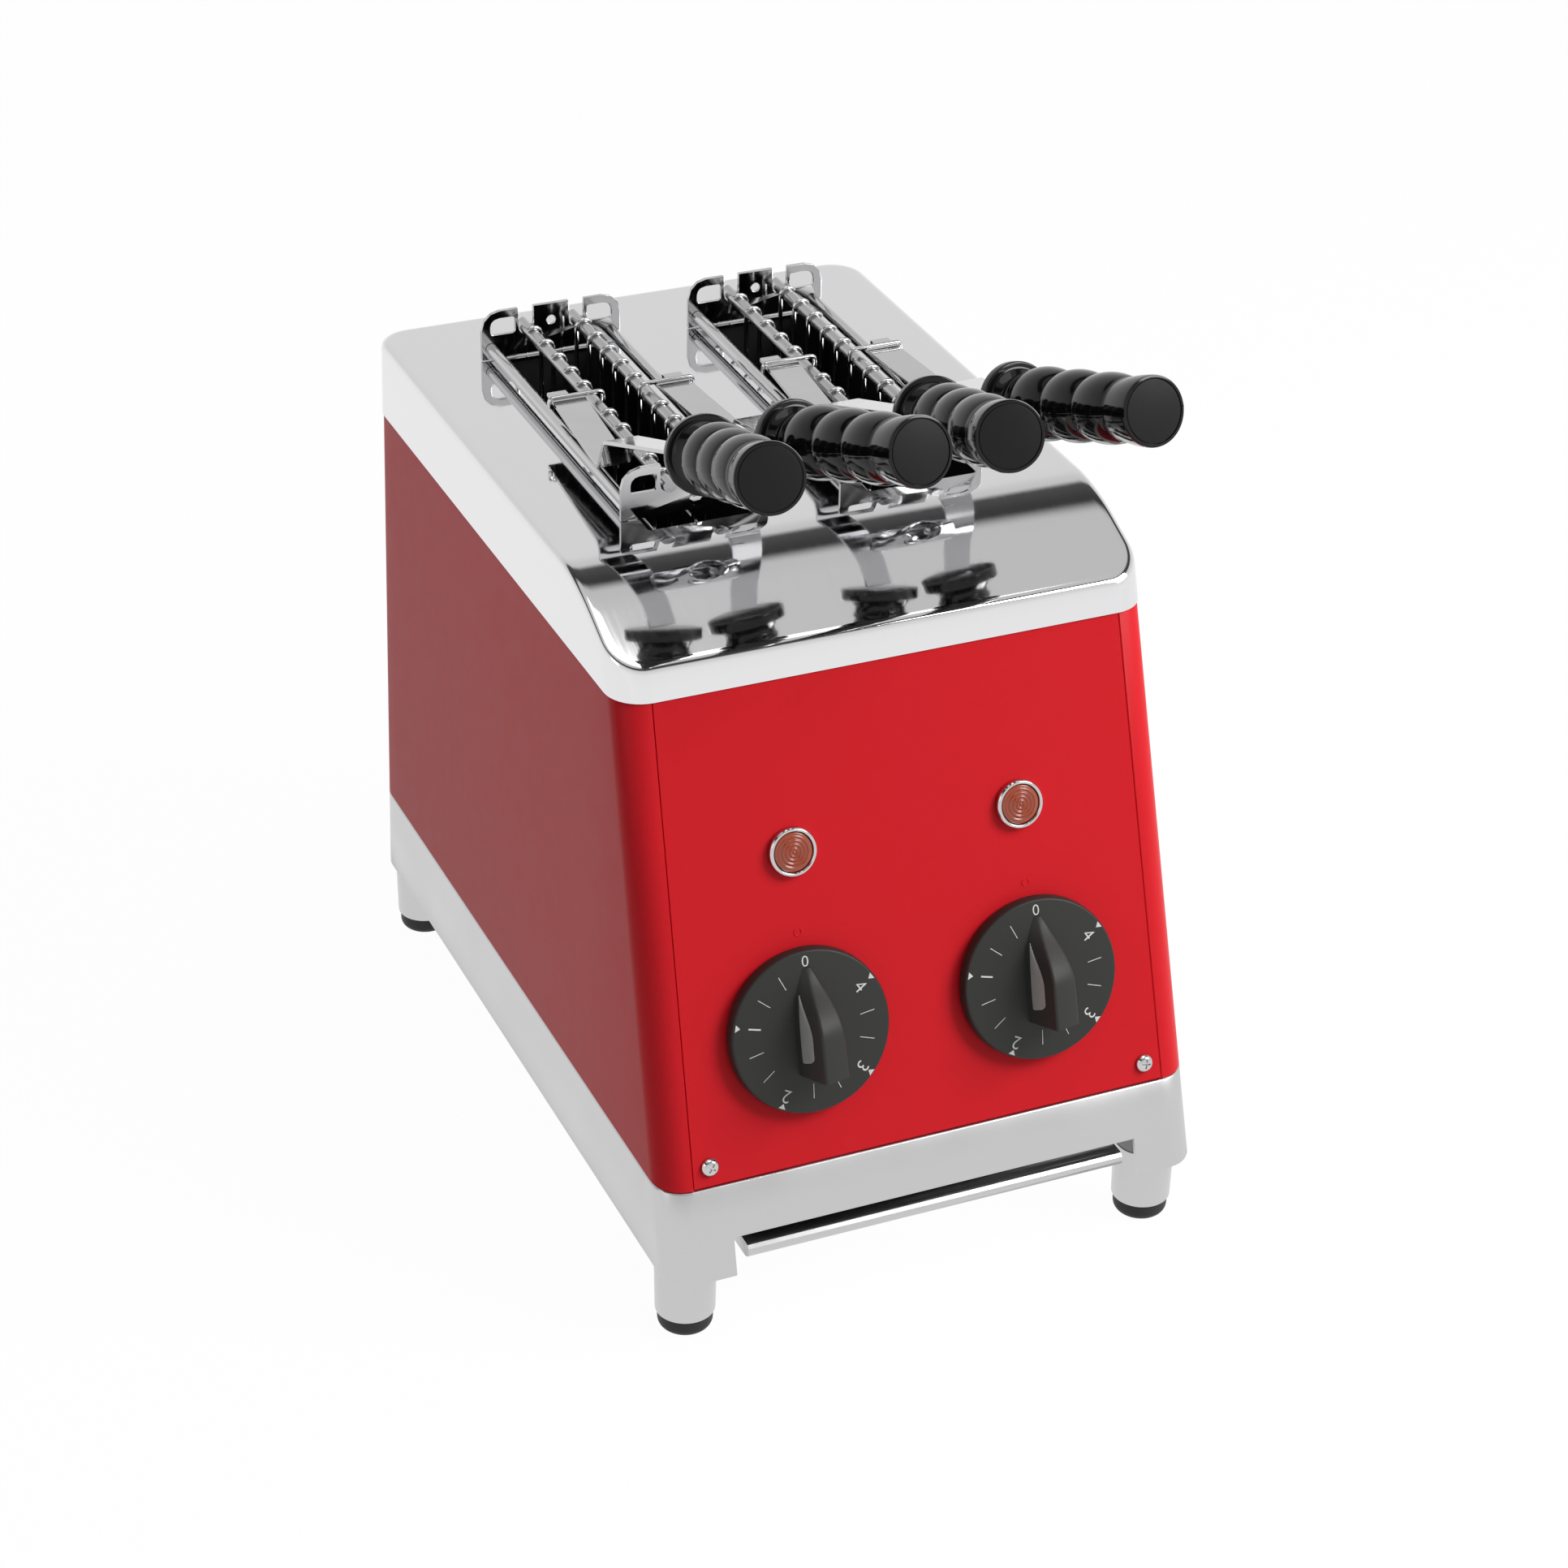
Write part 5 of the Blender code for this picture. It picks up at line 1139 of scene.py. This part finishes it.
class TOASTER_OT_stage(Step, bpy.types.Operator):
    """The studio: a white floor, an even surround with a dark band high up, lights and camera"""

    bl_idname = "toaster.stage"
    bl_label = "Studio"

    def execute(self, context):
        scene = context.scene
        studio = scene.toaster_studio
        self.floor()
        self.surround(scene, studio)
        lights = {
            "key": ((1.2, -0.95, 1.3), (0.0, -0.1, 0.14), 0.9, studio.key_power),
            "top": ((0.1, -0.1, 1.7), (0.0, 0.0, 0.2), 0.9, studio.key_power * 0.13),
            "left": ((-1.5, -0.5, 0.9), (0.0, 0.0, 0.2), 0.5, studio.key_power * 0.04),
        }
        for name, (spot, target, size, power) in lights.items():
            light = bpy.data.lights.new(f"{name}_light", "AREA")
            light.size = size
            light.energy = power
            holder = linked(f"{name}_light", light)
            holder.location = spot
            ahead = Vector(target) - Vector(spot)
            holder.rotation_euler = ahead.to_track_quat("-Z", "Y").to_euler()
        camera = bpy.data.cameras.new("camera")
        camera.lens = studio.lens
        camera.sensor_width = 36.0
        camera.clip_start = 0.01
        holder = linked("camera", camera)
        spot, target = Vector((-0.5333, -1.2186, 0.9142)), Vector((0.0031, -0.0067, 0.1329))
        ahead = (target - spot).normalized()
        right = ahead.cross(Vector((0, 0, 1))).normalized()
        up = right.cross(ahead)
        roll = math.radians(1.092)
        cosine, sine = math.cos(roll), math.sin(roll)
        right, up = right * cosine + up * sine, up * cosine - right * sine
        turn = Matrix((right, up, -ahead)).transposed().to_4x4()
        holder.matrix_world = Matrix.Translation(spot) @ turn
        scene.camera = holder
        scene.view_settings.view_transform = "Standard"
        return {"FINISHED"}

    def floor(self):
        """A wide flat floor that is white to the camera and in reflections, and keeps shadows."""
        reach = np.linspace(-6, 6, 3)
        x, y = np.meshgrid(reach, reach)
        points = np.stack((x, y, np.full_like(x, -0.0005)), -1)
        mesh = mesh_of("floor", surface(points, close_columns=False))
        found = linked("floor", mesh)
        material = bpy.data.materials.new("floor_white")
        material.use_nodes = True
        tree = material.node_tree
        tree.nodes.clear()
        place = node(tree, "TexCoord").outputs["Object"]
        noise = node(tree, "TexNoise", {"Scale": 3.0}, {"Vector": place})
        tint = blend(tree, noise.outputs["Fac"], (0.49, 0.49, 0.49), (0.51, 0.51, 0.51))
        matt = node(tree, "BsdfDiffuse", sources={"Color": tint})
        glow = node(tree, "Emission", {"Strength": 1.045})
        rays = node(tree, "LightPath").outputs
        seen = either(tree, rays["Is Camera Ray"], rays["Is Glossy Ray"])
        seen = either(tree, seen, rays["Is Transmission Ray"])
        share = node(tree, "Math", {1: 0.93}, {0: seen}, operation="MULTIPLY")
        mix = mixed(tree, share.outputs[0], matt, glow)
        node(tree, "OutputMaterial", sources={"Surface": mix.outputs[0]})
        mesh.materials.append(material)

    def surround(self, scene, studio):
        """Even light for the matt surfaces; white with a darker band high up for shiny ones."""
        world = bpy.data.worlds.new("surround")
        scene.world = world
        world.use_nodes = True
        tree = world.node_tree
        tree.nodes.clear()
        place = node(tree, "TexCoord").outputs["Generated"]
        along = node(tree, "SeparateXYZ", sources={0: place}).outputs
        ramp = node(tree, "ValToRGB", sources={0: along["Z"]})
        ramp.color_ramp.interpolation = "EASE"
        greys = {
            0.0: 1.0, 0.12: 0.95, 0.50: 0.80, 0.63: 0.68, 0.69: 0.08, 0.80: 0.05, 0.86: 0.62,
            1.0: 0.72,
        }
        elements = ramp.color_ramp.elements
        while len(elements) > 1:
            elements.remove(elements[0])
        for i, (spot, grey) in enumerate(greys.items()):
            element = elements[0] if i == 0 else elements.new(spot)
            element.position = spot
            element.color = (grey, grey, grey, 1)
        shiny = node(tree, "Background", sources={"Color": ramp.outputs[0]})
        ends = {
            "From Min": -1.0, "To Min": studio.ambient * 0.35, "To Max": studio.ambient * 1.5
        }
        lean = node(tree, "MapRange", ends, {"Value": along["X"]}).outputs["Result"]
        even = node(tree, "Background", {"Color": (1, 1, 1, 1)}, {"Strength": lean})
        white = node(tree, "Background", {"Color": (1, 1, 1, 1)})
        rays = node(tree, "LightPath").outputs
        first = mixed(tree, rays["Is Glossy Ray"], even, shiny)
        clear = either(tree, rays["Is Camera Ray"], rays["Is Transmission Ray"])
        second = mixed(tree, clear, first, white)
        node(tree, "OutputWorld", sources={"Surface": second.outputs[0]})


OPERATORS = (
    TOASTER_OT_stage, TOASTER_OT_inside, TOASTER_OT_base, TOASTER_OT_housing, TOASTER_OT_cover,
    TOASTER_OT_knobs, TOASTER_OT_lamps, TOASTER_OT_metalwork, TOASTER_OT_grids, TOASTER_OT_handles,
)
GROUPS = {
    "toaster_housing": HousingSettings, "toaster_dials": DialSettings,
    "toaster_tongs": TongsSettings, "toaster_studio": StudioSettings,
}


class TOASTER_PT_panel(bpy.types.Panel):
    """Lists the pieces of the toaster and their settings"""

    bl_label = "Bar toaster"
    bl_idname = "TOASTER_PT_panel"
    bl_space_type = "VIEW_3D"
    bl_region_type = "UI"
    bl_category = "Toaster"

    def draw(self, context):
        for operator in OPERATORS:
            self.layout.operator(operator.bl_idname)
        for name, group in GROUPS.items():
            box = self.layout.box()
            for prop in group.__annotations__:
                box.prop(getattr(context.scene, name), prop)


CLASSES = (*GROUPS.values(), *OPERATORS, TOASTER_PT_panel)


def register():
    for found in CLASSES:
        bpy.utils.register_class(found)
    for name, group in GROUPS.items():
        setattr(bpy.types.Scene, name, PointerProperty(type=group))


def unregister():
    for name in GROUPS:
        delattr(bpy.types.Scene, name)
    for found in reversed(CLASSES):
        bpy.utils.unregister_class(found)


def main():
    register()
    bpy.ops.toaster.stage()
    bpy.ops.toaster.inside()
    bpy.ops.toaster.base()
    bpy.ops.toaster.housing()
    bpy.ops.toaster.cover()
    bpy.ops.toaster.knobs()
    bpy.ops.toaster.lamps()
    bpy.ops.toaster.metalwork()
    bpy.ops.toaster.grids()
    bpy.ops.toaster.handles()


if __name__ == "__main__":
    main()
